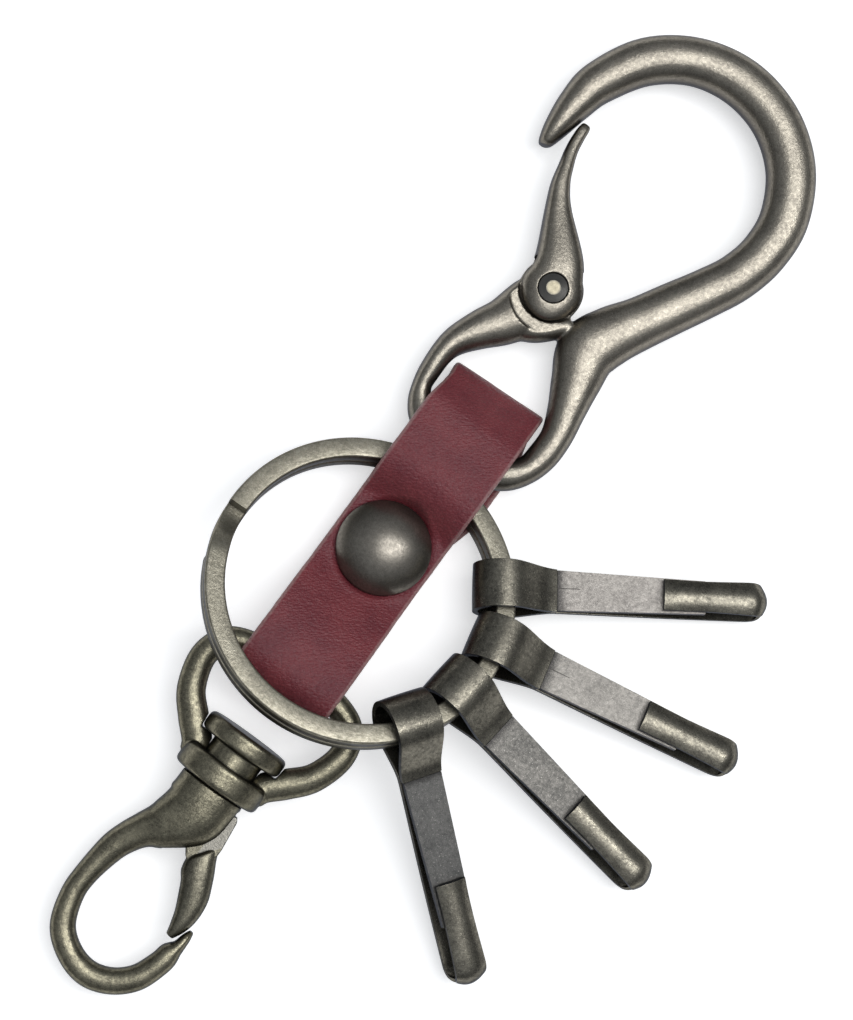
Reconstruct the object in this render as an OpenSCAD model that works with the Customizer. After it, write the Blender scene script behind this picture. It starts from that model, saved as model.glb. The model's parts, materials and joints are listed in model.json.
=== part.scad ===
// Leather key holder with a lever hook, a split ring, four key clips and a swivel snap.
// It lies flat with its front up. X runs across the strap, Y along it towards the big hook,
// and Z up. The origin is on the rivet's axis, on the face that the strap lies on.

/* [Strap] */
// Width of the leather strap
strap_w = 12.2; // [10:0.1:14]
// Thickness of the leather
leather_t = 1.5; // [1.2:0.05:1.8]
// Distance from the rivet to the fold that holds the hook
fold_y = 22.7; // [22:0.1:26]
// Length of leather on each side of the rivet where the layers lie flat
lap_y = 6.2; // [5.6:0.1:6.8]
// Space between the pressed layers of leather
layer_gap = 0.05; // [0.03:0.01:0.1]
// Space between the leather and the metal that it holds
leather_clear = 0.3; // [0.25:0.05:0.5]

/* [Rivet] */
// Diameter of the domed cap
cap_d = 10.8; // [9:0.1:11]
// Height of the dome above its rim
cap_rise = 2.7; // [2:0.1:4]
// Thickness of the dome's upright rim
cap_rim = 0.5; // [0.3:0.1:1]
// Wall of the cap
cap_wall = 0.6; // [0.4:0.05:1]
// Diameter of the rivet's post
post_d = 3.2; // [2.4:0.1:4]
// Diameter of the rivet's flat base
base_d = 8.4; // [7:0.1:10]
// Thickness of the rivet's flat base
base_t = 0.6; // [0.4:0.05:0.8]
// Running space between the post and what it passes through
post_clear = 0.04; // [0.02:0.01:0.08]

/* [Hook] */
// Overall width of the hook's bow
hook_w = 32.6; // [30:0.1:36]
// Distance from the strap bar's middle to the top of the bow
hook_reach = 56.6; // [54:0.1:60]
// Thickness of the bow's bar
hook_bar_d = 5.7; // [5:0.1:6]
// Thickness of the bar inside the strap
strap_bar_d = 4.3; // [3.6:0.1:4.6]
// Distance from the rivet to the middle of the bar inside the strap
strap_bar_y = 14.2; // [14:0.1:15]
// Diameter of the lever's boss
boss_d = 7.5; // [7:0.1:8.4]
// Height of the lever's boss, front to back
boss_h = 6.2; // [5.6:0.1:6.6]
// Thickness of the tongue between the lever's cheeks
tongue_t = 2.8; // [2.4:0.1:3.2]
// Diameter of the lever's pivot pin
pivot_d = 2.4; // [2:0.1:2.6]
// Diameter of the recess for the pin's peened head
pivot_recess_d = 3.5; // [3:0.1:4]
// Depth of the recess for the pin's peened head
pivot_recess_t = 0.6; // [0.4:0.1:1]
// Thickness of the lever's spring wire
lever_wire_d = 0.4; // [0.3:0.05:0.5]
// Whole turns of the lever's spring
lever_turns = 2; // [1:1:3]

/* [Split ring] */
// Outer diameter of the split ring
ring_d = 35.2; // [32:0.2:36]
// Width of the ring's flat wire, measured along the radius
ring_wire_w = 2.3; // [1.8:0.1:2.5]
// Thickness of one turn of the ring's wire
ring_wire_t = 1.64; // [1.3:0.02:1.7]
// Space between the ring's two turns
ring_gap = 0.07; // [0.05:0.01:0.12]
// Sideways place of the ring's middle
ring_x = 0.7; // [0:0.1:1.2]

/* [Key clips] */
// Length of a clip from its loop to its bend
clip_l = 34; // [32:0.1:36]
// Thickness of the clips' spring strip
strip_t = 0.65; // [0.5:0.05:0.75]
// Width of the strip where it loops round the ring
loop_w = 5.4; // [4.6:0.1:5.8]
// Width of the strip at the clip's bend
bend_w = 3.8; // [3:0.1:4.4]
// Outer diameter of the loop round the ring
loop_d = 7.1; // [6.7:0.1:7.6]
// Outer diameter of the clip's bend
bend_d = 5; // [4.4:0.1:5.6]
// Radius of the bend's corners, seen from above
corner_r = 0.9; // [0.6:0.1:1.4]
// Rise of the crown across the clip's bend
crown = 0.65; // [0.3:0.05:0.8]
// Hairline between the gate leaf and the strip that it springs from
leaf_gap = 0.1; // [0.08:0.01:0.15]

/* [Swivel] */
// Outer width of the swivel's eye
eye_w = 21.5; // [20:0.1:23]
// Thickness of the eye's bar
eye_bar_d = 2.9; // [2.4:0.1:3.1]
// Distance from the rivet to the middle of the eye's bar
eye_bar_y = 17.2; // [17:0.1:18]
// Distance from the eye's bar to the middle of the collar
eye_reach = 14; // [13.6:0.1:15]
// Diameter of the collar
collar_d = 10.7; // [10:0.1:11]
// Height of the collar
collar_h = 2.9; // [2.5:0.1:3.2]
// Diameter of the snap's post
stem_d = 6.4; // [5.6:0.1:6.8]
// Diameter of the post's head
head_d = 10.2; // [9:0.1:10.4]
// Thickness of the post's head
head_t = 2.2; // [1.8:0.1:2.4]
// Space between the collar and the post's head
head_play = 1.8; // [1.4:0.1:2]
// Running space round the post
stem_clear = 0.05; // [0.03:0.01:0.1]
// Angle at which the swivel leans down from the strap
snap_tilt = 4; // [3:0.5:5]

/* [Snap hook] */
// Overall width of the snap's hook
snap_w = 15.2; // [14:0.1:17]
// Distance from the collar's lower face to the end of the snap's hook
snap_reach = 26.3; // [25:0.1:28]
// Thickness of the snap's bar
snap_bar_d = 2.9; // [2.5:0.1:3.2]
// Thickness of the gate's flat root
root_t = 1.8; // [1.6:0.1:2]
// Diameter of the gate's pin
gate_pin_d = 1.6; // [1.3:0.1:1.8]
// Thickness of the gate's spring wire
gate_wire_d = 0.3; // [0.25:0.01:0.35]
// Turns of the gate's spring
gate_turns = 4; // [3:1:5]

/* [Hidden] */

brass = "#6a6353";
brass_dark = "#4c483f";
brass_light = "#8b8470";
leather = "#6d303a";

// Running space of a pivot pin
pin_clear = 0.05;
// Hairline round a pin that stays fast in its bore
press_clear = 0.015;
// Space between a swinging cheek or root and the slot that it moves in
slot_clear = 0.06;
// Overrun of a cut past the face that it opens
cut = 1;
// Radius that breaks a turned edge
edge_r = 0.5;
// Sides of a bar's section
bar_sides = 14;
// Sides of a thin wire's section
wire_sides = 6;
// Rings between two chosen points of a bar
bar_steps = 3;
// Smoothness of turned surfaces
turned = 64;
// Points round the cap's dome, round one turn of a spring and round one turn of the ring
dome_steps = 12;
coil_steps = 12;
ring_steps = 55;
climb_steps = 6;
// Largest turn between two points of a bend in the leather
bend_step = 14;

// Room that the strap's loop leaves round the eye's bar
loop_slack = 2 * leather_clear;

// Heights of the pieces above the face that the strap lies on
hook_z = leather_t + leather_clear + strap_bar_d / 2;
eye_z = collar_d / 2 + eye_reach * sin(snap_tilt);
loop_r = eye_bar_d / 2 + loop_slack + leather_t / 2;
ring_h = 2 * ring_wire_t + ring_gap;
ring_mid_r = (ring_d - ring_wire_w) / 2;
// The ring passes through the strap on the hook's side and leans on the strap's other loop
ring_low_z = leather_t + leather_clear + ring_h / 2;
ring_lean_z = eye_z + loop_r + leather_t / 2 + leather_clear + ring_h / 2;
ring_tilt = asin((ring_lean_z - ring_low_z) / (2 * ring_mid_r));
ring_pass_z = leather_t + leather_clear + ring_h / 2 * cos(ring_tilt) + ring_wire_w / 2 * sin(ring_tilt);
// Slack between the ring and the hook's bar inside the strap
ring_slack = 0.85;
// Distance from the rivet to the ring where it passes through the strap
ring_pass_y = strap_bar_y - strap_bar_d / 2 - ring_wire_w / 2 - ring_slack;
ring_pos = [ring_x, ring_pass_y - ring_mid_r * cos(ring_tilt), ring_pass_z + ring_mid_r * sin(ring_tilt)];

function unit(v) = v / norm(v);
function knot(k, i, loop) = loop ? k[(i + len(k)) % len(k)] : k[max(0, min(len(k) - 1, i))];
function between(a, b, c, d, t) =
    (2 * b + (c - a) * t + (2 * a - 5 * b + 4 * c - d) * t * t + (3 * b - a - 3 * c + d) * t * t * t) / 2;

// A smooth line through chosen points, which may carry widths as further numbers
function smooth(k, steps, loop = false) = [
    for (i = [0 : len(k) - (loop ? 1 : 2)])
        for (s = [0 : steps - 1])
            between(
                knot(k, i - 1, loop), knot(k, i, loop), knot(k, i + 1, loop), knot(k, i + 2, loop),
                s / steps
            ),
    if (!loop) k[len(k) - 1]
];

function heading(p, i, loop = false) =
    let (a = knot(p, i - 1, loop), b = knot(p, i + 1, loop))
    unit([b[0] - a[0], b[1] - a[1]]);

// A value or a place part of the way from a to b
function part_way(a, b, share) = a + (b - a) * share;

// Points of an arc round a centre in a plane
function arc(c, r, from, to, steps) = [
    for (s = [0 : steps])
        let (a = from + (to - from) * s / steps)
        [c[0] + r * cos(a), c[1] + r * sin(a)]
];

// A closed skin over rings of points, capped at both ends unless it loops
module skin(rings, loop = false) {
    n = len(rings[0]);
    m = len(rings);
    sides = [
        for (i = [0 : m - (loop ? 1 : 2)])
            for (j = [0 : n - 1])
                let (
                    a = i * n + j,
                    b = i * n + (j + 1) % n,
                    c = ((i + 1) % m) * n + (j + 1) % n,
                    d = ((i + 1) % m) * n + j
                )
                each [[a, d, c], [a, c, b]]
    ];
    caps = loop ? [] : [[for (j = [0 : n - 1]) j], [for (j = [n - 1 : -1 : 0]) (m - 1) * n + j]];
    polyhedron(points = [for (r = rings) each r], faces = concat(sides, caps), convexity = 8);
}

// A cast bar in the XY plane, through points that give its place, half width and half height.
// full is 1 for a round section and less for a squarer one.
module bar(points, sides = bar_sides, full = 0.9, loop = false) {
    function soft(v) = sign(v) * pow(abs(v), full);
    skin([
        for (i = [0 : len(points) - 1])
            let (p = points[i], h = heading(points, i, loop))
            [for (j = [0 : sides - 1])
                let (a = 360 * (j + 0.5) / sides)
                [p[0] - h[1] * p[2] * soft(cos(a)), p[1] + h[0] * p[2] * soft(cos(a)), p[3] * soft(sin(a))]]
    ], loop);
}

// A round wire along any line whose turns lie round the up direction
module wire(points, r, up) {
    skin([
        for (i = [0 : len(points) - 1])
            let (
                t = unit(knot(points, i + 1, false) - knot(points, i - 1, false)),
                n = unit(cross(up, t)),
                b = cross(t, n)
            )
            [for (j = [0 : wire_sides - 1])
                let (a = 360 * j / wire_sides)
                points[i] + r * (cos(a) * n + sin(a) * b)]
    ]);
}

// A turned disc with rounded rims, centred on the origin along Z
module turned_disc(d, h, r = edge_r) {
    rotate_extrude($fn = turned)
        polygon(concat(
            [[0, -h / 2]],
            arc([d / 2 - r, r - h / 2], r, -90, 0, 4),
            arc([d / 2 - r, h / 2 - r], r, 0, 90, 4),
            [[0, h / 2]]
        ));
}

// Strap: one long strip, folded so that both of its ends lie under the rivet
layer_pitch = leather_t + layer_gap;
top_z = 2 * layer_pitch + leather_t / 2;
strap_top = top_z + leather_t / 2;
// Room above the hook's bar that lets it swing in the leather
swing_room = 0.15;
hook_rise = hook_z + strap_bar_d / 2 + leather_clear + leather_t / 2 + swing_room;
// Radii of the leather's bends, along its middle: at the fold, over the ring, beside the rivet,
// over the swivel's side and under it
fold_r = 1.55;
crest_r = 3.4;
step_r = 1;
dome_r = 15;
under_r = 12;
// How far the leather bows out past the hook's bar, towards the fold
bow_y = 1.3;
// Place of the bends at the rivet, as a share of the cap's radius: the cap presses the leather down
step_share = 0.84;
step_y = step_share * cap_d / 2;
// Room round the cap in the seat that it presses into the leather
seat_clear = 0.08;
// Direction, from upright, in which the bend over the swivel's side runs into the loop
dome_turn = 3;
// Room that keeps two bends in line apart, as a share of the distance between their middles
apart_share = 0.004;
// The ring's upper inner edge where it meets the strap's sides, and the leather's room above it and
// slope past it
edge_room = 0.3;
edge_slope = 50;
ring_in_r = ring_mid_r - ring_wire_w / 2;
side_x = strap_w / 2 + ring_x;
edge_off = ring_wire_w / 2 + ring_in_r - sqrt(ring_in_r * ring_in_r - side_x * side_x);
edge_y = ring_pass_y - edge_off * cos(ring_tilt) + ring_h / 2 * sin(ring_tilt);
edge_z = ring_pass_z + edge_off * sin(ring_tilt) + ring_h / 2 * cos(ring_tilt) + edge_room;
crest_y = edge_y + (crest_r - leather_t / 2) * sin(edge_slope);
crest_z = edge_z - (crest_r - leather_t / 2) * cos(edge_slope);
dome_off = (dome_r - loop_r) * (1 + apart_share);

// The strap's bends in turn: place of each bend's middle, and its radius, less than 0 where the
// leather turns the other way
strap_bends = [
    [fold_y - leather_t / 2 - fold_r, leather_t / 2 + fold_r, fold_r],
    [strap_bar_y + bow_y, hook_z, hook_rise - hook_z],
    [crest_y, crest_z, crest_r],
    [step_y, top_z + step_r, -step_r],
    [-step_y, top_z + step_r, -step_r],
    [-eye_bar_y - dome_off * sin(dome_turn), eye_z - dome_off * cos(dome_turn), dome_r],
    [-eye_bar_y, eye_z, loop_r],
    [-lap_y, leather_t / 2 + layer_pitch + under_r, under_r]
];

// Angle at which a straight run leaves bend a and meets bend b
function run_angle(a, b) =
    let (d = [b[0] - a[0], b[1] - a[1]])
    atan2(d[1], d[0]) - acos((a[2] - b[2]) / norm(d));

// Points of a bend, each with the angle of the leather's face there
function bend(c, from, to) =
    let (
        sweep = c[2] > 0 ? (to - from + 360) % 360 : -((from - to + 360) % 360),
        n = ceil(abs(sweep) / bend_step) + 1
    )
    [for (s = [0 : n])
        let (a = from + sweep * s / n)
        [c[0] + c[2] * cos(a), c[1] + c[2] * sin(a), a]];

strap_angles = concat(
    [-90],
    [for (i = [0 : len(strap_bends) - 2]) run_angle(strap_bends[i], strap_bends[i + 1])],
    [-90]
);
strap_line = concat(
    [[-lap_y, leather_t / 2, -90]],
    [for (i = [0 : len(strap_bends) - 1]) each bend(strap_bends[i], strap_angles[i], strap_angles[i + 1])],
    [[lap_y, leather_t / 2 + layer_pitch, -90]]
);

function beside(line, off) = [for (p = line) [p[0] + off * cos(p[2]), p[1] + off * sin(p[2])]];

module strap() {
    back = beside(strap_line, -leather_t / 2);
    color(leather)
    difference() {
        rotate([90, 0, 90])
            linear_extrude(strap_w, center = true, convexity = 10)
                polygon(concat(
                    beside(strap_line, leather_t / 2),
                    [for (i = [len(back) - 1 : -1 : 0]) back[i]]
                ));
        translate([0, 0, -cut])
            cylinder(d = post_d + 2 * post_clear, h = strap_top + 2 * cut, $fn = turned);
        translate([0, 0, -cut])
            cylinder(d = base_d + 2 * post_clear, h = base_t + layer_gap + cut, $fn = turned);
        translate([0, 0, strap_top])
            cylinder(d = cap_d + 2 * seat_clear, h = cap_rise + cut, $fn = turned);
    }
}

// Rivet: a domed cap pressed on a hollow post
cap_z = strap_top + layer_gap;
cap_round = (cap_d * cap_d / 4 + cap_rise * cap_rise) / (2 * cap_rise);
cap_angle = asin(cap_d / 2 / cap_round);
// Height of the bore's end above the cap's lower face
cap_in_z = cap_rim + cap_rise - cap_wall - post_clear;

module rivet_cap() {
    color(brass)
    translate([0, 0, cap_z])
    rotate_extrude($fn = turned)
        polygon(concat(
            [[post_d / 2 + post_clear, 0], [cap_d / 2, 0], [cap_d / 2, cap_rim]],
            [for (s = [1 : dome_steps])
                let (a = cap_angle * (1 - s / dome_steps))
                [cap_round * sin(a), cap_rim + cap_rise - cap_round + cap_round * cos(a)]],
            [[0, cap_in_z], [post_d / 2 + post_clear, cap_in_z]]
        ));
}

module rivet_post() {
    color(brass_dark)
    rotate_extrude($fn = turned)
        polygon([
            [0, 0], [base_d / 2 - edge_r / 2, 0], [base_d / 2, edge_r / 2], [base_d / 2, base_t],
            [post_d / 2, base_t], [post_d / 2, cap_z + cap_in_z - post_clear],
            [0, cap_z + cap_in_z - post_clear]
        ]);
}

// Hook body. Places are shares of the bow's width and of the reach, measured from the strap bar's
// middle. The half widths and half heights are shares of the bow's bar.
hook_bow_share = [
    [-0.379, 0.601, 0.09, 0.18], [-0.382, 0.611, 0.16, 0.30], [-0.382, 0.650, 0.265, 0.41],
    [-0.376, 0.712, 0.37, 0.46], [-0.354, 0.775, 0.44, 0.49], [-0.265, 0.866, 0.485, 0.50],
    [-0.120, 0.928, 0.49, 0.50], [0.055, 0.949, 0.505, 0.50], [0.229, 0.926, 0.505, 0.50],
    [0.370, 0.864, 0.505, 0.50], [0.454, 0.774, 0.50, 0.50], [0.467, 0.691, 0.49, 0.50],
    [0.439, 0.618, 0.49, 0.50], [0.386, 0.555, 0.50, 0.50], [0.322, 0.489, 0.52, 0.50],
    [0.258, 0.422, 0.54, 0.51], [0.202, 0.366, 0.60, 0.52], [0.170, 0.313, 0.63, 0.52],
    [0.199, 0.251, 0.51, 0.48], [0.232, 0.191, 0.39, 0.43], [0.2565, 0.138, 0.325, 0.40],
    [0.2575, 0.088, 0.315, 0.38], [0.2395, 0.045, 0.285, 0.37], [0.190, 0.0135, 0.33, 0.376],
    [0.120, 0.001, 0.372, 0.377], [0.012, 0.000, 0.377, 0.377], [-0.095, 0.004, 0.37, 0.376],
    [-0.158, 0.016, 0.33, 0.35], [-0.200, 0.034, 0.255, 0.31], [-0.225, 0.058, 0.20, 0.32],
    [-0.234, 0.090, 0.22, 0.36], [-0.236, 0.138, 0.245, 0.39], [-0.2205, 0.176, 0.305, 0.41],
    [-0.176, 0.222, 0.40, 0.43],
    [-0.130, 0.261, 0.48, 0.46], [-0.090, 0.309, 0.58, 0.50], [-0.075, 0.330, 0.58, 0.50]
];
// The short neck that ties the left leg to the right one below the lever
hook_neck_share = [
    [-0.07, 0.318, 0.29, 0.40], [0.049, 0.323, 0.20, 0.40], [0.16, 0.318, 0.27, 0.42]
];
// Lever, in the same shares
hook_lever_share = [
    [-0.058, 0.3675, 0.63, 0.52], [-0.0966, 0.4258, 0.495, 0.51], [-0.1225, 0.4443, 0.395, 0.49],
    [-0.1505, 0.468, 0.35, 0.455], [-0.2025, 0.5088, 0.27, 0.385], [-0.250, 0.5548, 0.20, 0.33],
    [-0.276, 0.5928, 0.15, 0.28], [-0.2945, 0.6272, 0.12, 0.235], [-0.3052, 0.659, 0.098, 0.19],
    [-0.3092, 0.6767, 0.078, 0.15], [-0.3098, 0.6845, 0.045, 0.09]
];
pivot_share = [-0.058, 0.3675];
// The lever's section is a little squarer than round, so its face runs on from the boss
lever_full = 0.75;

function hook_point(s) = [
    s[0] * hook_w, strap_bar_y + s[1] * hook_reach, s[2] * hook_bar_d, s[3] * hook_bar_d
];
function hook_points(shares) = [for (s = shares) hook_point(s)];

pivot = [pivot_share[0] * hook_w, strap_bar_y + pivot_share[1] * hook_reach, hook_z];
// Depth of the step that shows round the lever's boss
seat_depth = 1.2;
// Width of that step
seat_w = 0.6;
// How far the step lies below the pivot
seat_drop = 0.9;
// Depth of the spring's pocket in the tongue, from the back
spring_pocket_t = 2;
// Space between the lever's spring and what it lies in
spring_clear = 0.2;
spring_r = pivot_d / 2 + lever_wire_d / 2 + spring_clear;
spring_pocket_r = spring_r + lever_wire_d / 2 + spring_clear;
tongue_r = boss_d / 2 - slot_clear;
slot_r = boss_d / 2 + seat_w;
// Space round the pin's peened head, and the shares of its radius and height that stay flat
peen_clear = 0.1;
peen_share = 0.5;
// Directions of the two legs of the lever's spring, seen from the front
leg_body_a = 250;
leg_lever_a = 118;

module hook_body() {
    color(brass)
    difference() {
        union() {
            translate([0, 0, hook_z]) {
                bar(smooth(hook_points(hook_bow_share), bar_steps));
                bar(smooth(hook_points(hook_neck_share), bar_steps));
            }
            translate(pivot)
                cylinder(r = tongue_r, h = tongue_t, center = true, $fn = turned);
        }
        translate(pivot) {
            for (side = [-1, 1])
                translate([0, 0, side * (tongue_t + hook_bar_d) / 2])
                    cylinder(d = boss_d + 2 * slot_clear, h = hook_bar_d, center = true, $fn = turned);
            for (side = [-1, 1])
                translate([0, -seat_drop, side * (boss_h / 2 - seat_depth + hook_bar_d / 2)])
                    cylinder(d = boss_d + 2 * seat_w, h = hook_bar_d, center = true, $fn = turned);
            cylinder(d = pivot_d + 2 * pin_clear, h = hook_bar_d * 2, center = true, $fn = turned);
            translate([0, 0, -tongue_t / 2 - cut])
                cylinder(r = spring_pocket_r, h = spring_pocket_t + cut, $fn = turned);
            for (leg = [[leg_body_a, spring_r], [leg_lever_a, -spring_r]])
                rotate([0, 0, leg[0]])
                    translate([0, leg[1] - lever_wire_d, -tongue_t / 2 - cut])
                        cube([tongue_r + cut, 2 * lever_wire_d, spring_pocket_t + cut]);
        }
    }
}

module hook_lever() {
    color(brass)
    difference() {
        union() {
            translate([0, 0, hook_z])
                bar(smooth(hook_points(hook_lever_share), bar_steps), bar_sides, lever_full);
            translate(pivot) turned_disc(boss_d, boss_h, edge_r);
        }
        translate(pivot) {
            cylinder(r = slot_r, h = tongue_t + 2 * slot_clear, center = true, $fn = turned);
            cylinder(d = pivot_d + 2 * pin_clear, h = 2 * boss_h, center = true, $fn = turned);
            for (side = [-1, 1])
                translate([0, 0, side * boss_h / 2])
                    cylinder(d = pivot_recess_d, h = 2 * pivot_recess_t, center = true, $fn = turned);
        }
    }
}

module hook_pivot_pin() {
    head_r = pivot_recess_d / 2 - peen_clear;
    foot = boss_h / 2 - pivot_recess_t + slot_clear;
    tip = boss_h / 2 + pin_clear;
    rim = foot + (tip - foot) * peen_share;
    color(brass_light)
    translate(pivot)
    rotate_extrude($fn = turned)
        polygon([
            [0, -tip], [head_r * peen_share, -tip], [head_r, -rim], [head_r, -foot],
            [pivot_d / 2, -foot], [pivot_d / 2, foot],
            [head_r, foot], [head_r, rim], [head_r * peen_share, tip], [0, tip]
        ]);
}

module hook_spring() {
    leg = sqrt(tongue_r * tongue_r - spring_r * spring_r) - spring_clear;
    low = lever_wire_d / 2 + spring_clear - tongue_t / 2;
    high = spring_pocket_t - lever_wire_d / 2 - spring_clear - tongue_t / 2;
    from = leg_body_a + 90;
    sweep = (leg_lever_a - 90 - from + 720) % 360 + 360 * lever_turns;
    steps = coil_steps * (lever_turns + 1);
    coil = [
        for (s = [0 : steps])
            let (a = from + sweep * s / steps)
            [spring_r * cos(a), spring_r * sin(a), part_way(low, high, s / steps)]
    ];
    color(brass_light)
    translate(pivot)
        wire(concat(
            [coil[0] + leg * [cos(leg_body_a), sin(leg_body_a), 0]],
            coil,
            [coil[steps] + leg * [cos(leg_lever_a), sin(leg_lever_a), 0]]
        ), lever_wire_d / 2, [0, 0, 1]);
}

// Split ring: two turns of flat wire, with a step where the wire climbs from one to the other
// Angle on the ring at which the lower end lies, and how far round from it each change comes
ring_start = 204;
ring_climb_from = 340;
ring_climb_to = 359;
ring_end = 698;
// Worn edges of the ring's wire
ring_edge_share = 0.14;

function climb(t) = t < ring_climb_from ? 0 : t > ring_climb_to ? 1
    : (1 - cos(180 * (t - ring_climb_from) / (ring_climb_to - ring_climb_from))) / 2;

module split_ring() {
    a = ring_wire_w / 2;
    b = ring_wire_t / 2;
    e = ring_wire_t * ring_edge_share;
    section = [
        [a, e - b], [a, b - e], [a - e, b], [e - a, b],
        [-a, b - e], [-a, e - b], [e - a, -b], [a - e, -b]
    ];
    turns = concat(
        [for (s = [0 : ring_steps - 1]) part_way(0, ring_climb_from, s / ring_steps)],
        [for (s = [0 : climb_steps]) part_way(ring_climb_from, ring_climb_to, s / climb_steps)],
        [for (s = [1 : ring_steps]) part_way(ring_climb_to, ring_end, s / ring_steps)]
    );
    color(brass)
    translate(ring_pos) rotate([-ring_tilt, 0, 0])
        skin([
            for (t = turns)
                let (w = ring_start + t, z = (climb(t) - 0.5) * (ring_wire_t + ring_gap))
                [for (s = section) [(ring_mid_r - s[0]) * cos(w), (ring_mid_r - s[0]) * sin(w), s[1] + z]]
        ]);
}

// Key clips: each is one strip bent round the ring, closed by a springy gate leaf.
// A row gives the clip's angle on the ring, its heading, its dip, its roll and how far its loop
// is pulled out from the middle of the ring's wire.
clip_angles = [
    [39.2, 33.2, 4.5, 9.4, 0.1],
    [15.6, 10.2, 6.9, 12.3, 0.3],
    [-9.2, -9.4, 10, 12.9, -0.7],
    [-35.4, -40, 13.7, 17.9, -0.7]
];
loop_mid = (loop_d - strip_t) / 2;
bend_mid = (bend_d - strip_t) / 2;
clip_axis_l = clip_l - loop_d / 2;
bend_x = clip_axis_l - bend_d / 2;
// Where the two legs meet, as a share of the length beyond the ring
neck_share = 0.197;
// Where the tip of the bend ends and where the leaf ends
tip_share = 0.593;
leaf_share = 0.755;
neck_x = clip_axis_l * neck_share;
tip_x = clip_axis_l * tip_share;
leaf_x = clip_axis_l * leaf_share;
// Space between the strip's two legs at the neck
neck_gap = 0.08;
neck_z = (strip_t + neck_gap) / 2;
// Shares of the crown's width and fall at the section's middle corners, and of its fall inside
crown_share = 0.55;
fall_share = 0.3;
under_share = 0.7;
// Height of the bend's middle above the clip's axis
bend_z = 0.3;
// Space between the leaf and the tip that it rests against
leaf_clear = 0.12;
leaf_slope = 2.4;

function leaf_z(x) = neck_z + (x - neck_x) * tan(leaf_slope);

tip_z = leaf_z(tip_x) + strip_t + leaf_clear + crown * under_share;

// Half angle at which the strip leaves its loop, and the shoulder beyond it: shares of the
// distance to the neck, and of the loop's radius
loop_leave = 58;
shoulder_share = [[0.55, 0.5], [0.79, 0.22]];
// Direction in which the strip enters its bend
bend_from = -92;
// Share of the lower leg's slope that it has made half way to the bend
belly_share = 0.55;
// Rows of the lower leg and of the tip: share of the way, and share of the crown there
leg_rows = [[0.5, 0.2]];
tip_rows = [[0.5, 1], [0.9, 1], [1, 0.7]];

function shoulder(side) = smooth(concat(
    [for (r = shoulder_share) [neck_x * r[0], side * loop_mid * r[1], 0]],
    [[neck_x, side * neck_z, 0]]
), 2);

// The strip's line seen from the side: from the neck round the ring to the bend and its tip.
// The third number is the share of the crown.
clip_line = concat(
    [for (k = [len(shoulder_share) * 2 : -1 : 0]) shoulder(1)[k]],
    [for (p = arc([0, 0], loop_mid, loop_leave, 360 - loop_leave, 16)) [p[0], p[1], 0]],
    shoulder(-1),
    [for (r = leg_rows)
        [part_way(neck_x, bend_x, r[0]), part_way(-neck_z, bend_z - bend_mid, belly_share), r[1]]],
    [for (p = arc([bend_x, bend_z], bend_mid, bend_from, 90, 12)) [p[0], p[1], 1]],
    [for (r = tip_rows)
        [part_way(bend_x, tip_x, r[0]), part_way(bend_z + bend_mid, tip_z, r[0]), r[1]]]
);

// Shares of the loop's width that the strip keeps at the neck, and that the leaf has at its root
neck_w_share = 0.9;
root_w_share = 0.86;
// Share of the strip's width that its tip keeps
tip_w_share = 0.84;

// How far the rounded corners of the bend draw its edge in, at a place along the clip
function corner_in(x) =
    let (into = max(0, x - bend_x - bend_mid + corner_r))
    corner_r - sqrt(max(0, corner_r * corner_r - into * into));

function strip_w(x) = x < neck_x ? part_way(loop_w, loop_w * neck_w_share, max(0, x / neck_x))
    : part_way(loop_w * neck_w_share, bend_w, (x - neck_x) / (bend_x - neck_x)) - corner_in(x);

// Share of the crown that the flat stretches keep
flat_share = 0.08;

// The section of the strip at a point of its line: flat, or crowned towards its outer side
function strip_ring(p, h, half) =
    let (c = crown * max(p[2], flat_share), t = strip_t / 2, m = half * crown_share)
    [for (s = [
        [-half, -t - c * under_share], [-m, -t], [m, -t], [half, -t - c * under_share],
        [half, t - c], [m, t - c * fall_share], [0, t], [-m, t - c * fall_share], [-half, t - c]
    ]) [p[0] + h[1] * s[1], -s[0], p[1] - h[0] * s[1]]];

module place_clip(i) {
    a = clip_angles[i];
    at = [ring_mid_r * cos(a[0]), ring_mid_r * sin(a[0]), 0];
    place = ring_pos + [
        at[0],
        at[1] * cos(ring_tilt),
        -at[1] * sin(ring_tilt)
    ];
    translate(place) rotate([0, 0, a[1]]) rotate([0, a[2], 0]) rotate([-a[3], 0, 0])
        translate([a[4], 0, 0]) children();
}

module clip(i) {
    tip_from = len(clip_line) - len(tip_rows);
    color(brass_dark)
    place_clip(i)
        skin([
            for (k = [0 : len(clip_line) - 1])
                let (w = strip_w(clip_line[k][0]) * (k < tip_from ? 1 : tip_w_share))
                strip_ring(clip_line[k], heading(clip_line, k), w / 2)
        ]);
}

module clip_gate(i) {
    start = neck_x + leaf_gap;
    length = leaf_x - start;
    color(brass_light)
    place_clip(i)
    translate([start, 0, neck_z]) rotate([0, -leaf_slope, 0])
    translate([0, 0, -strip_t / 2])
        linear_extrude(strip_t)
            polygon([
                [0, -loop_w * root_w_share / 2], [length, -bend_w / 2],
                [length, bend_w / 2], [0, loop_w * root_w_share / 2]
            ]);
}

module clip_1() { clip(0); }
module clip_2() { clip(1); }
module clip_3() { clip(2); }
module clip_4() { clip(3); }
module clip_1_gate() { clip_gate(0); }
module clip_2_gate() { clip_gate(1); }
module clip_3_gate() { clip_gate(2); }
module clip_4_gate() { clip_gate(3); }

// Swivel and snap. Their own frame has its origin in the collar's middle, Y towards the strap.
snap_x = 0.4;
// Space round the post's head in the eye
head_clear = 0.1;
snap_pos = [snap_x, -eye_bar_y - eye_reach * cos(snap_tilt), eye_z - eye_reach * sin(snap_tilt)];

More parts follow.
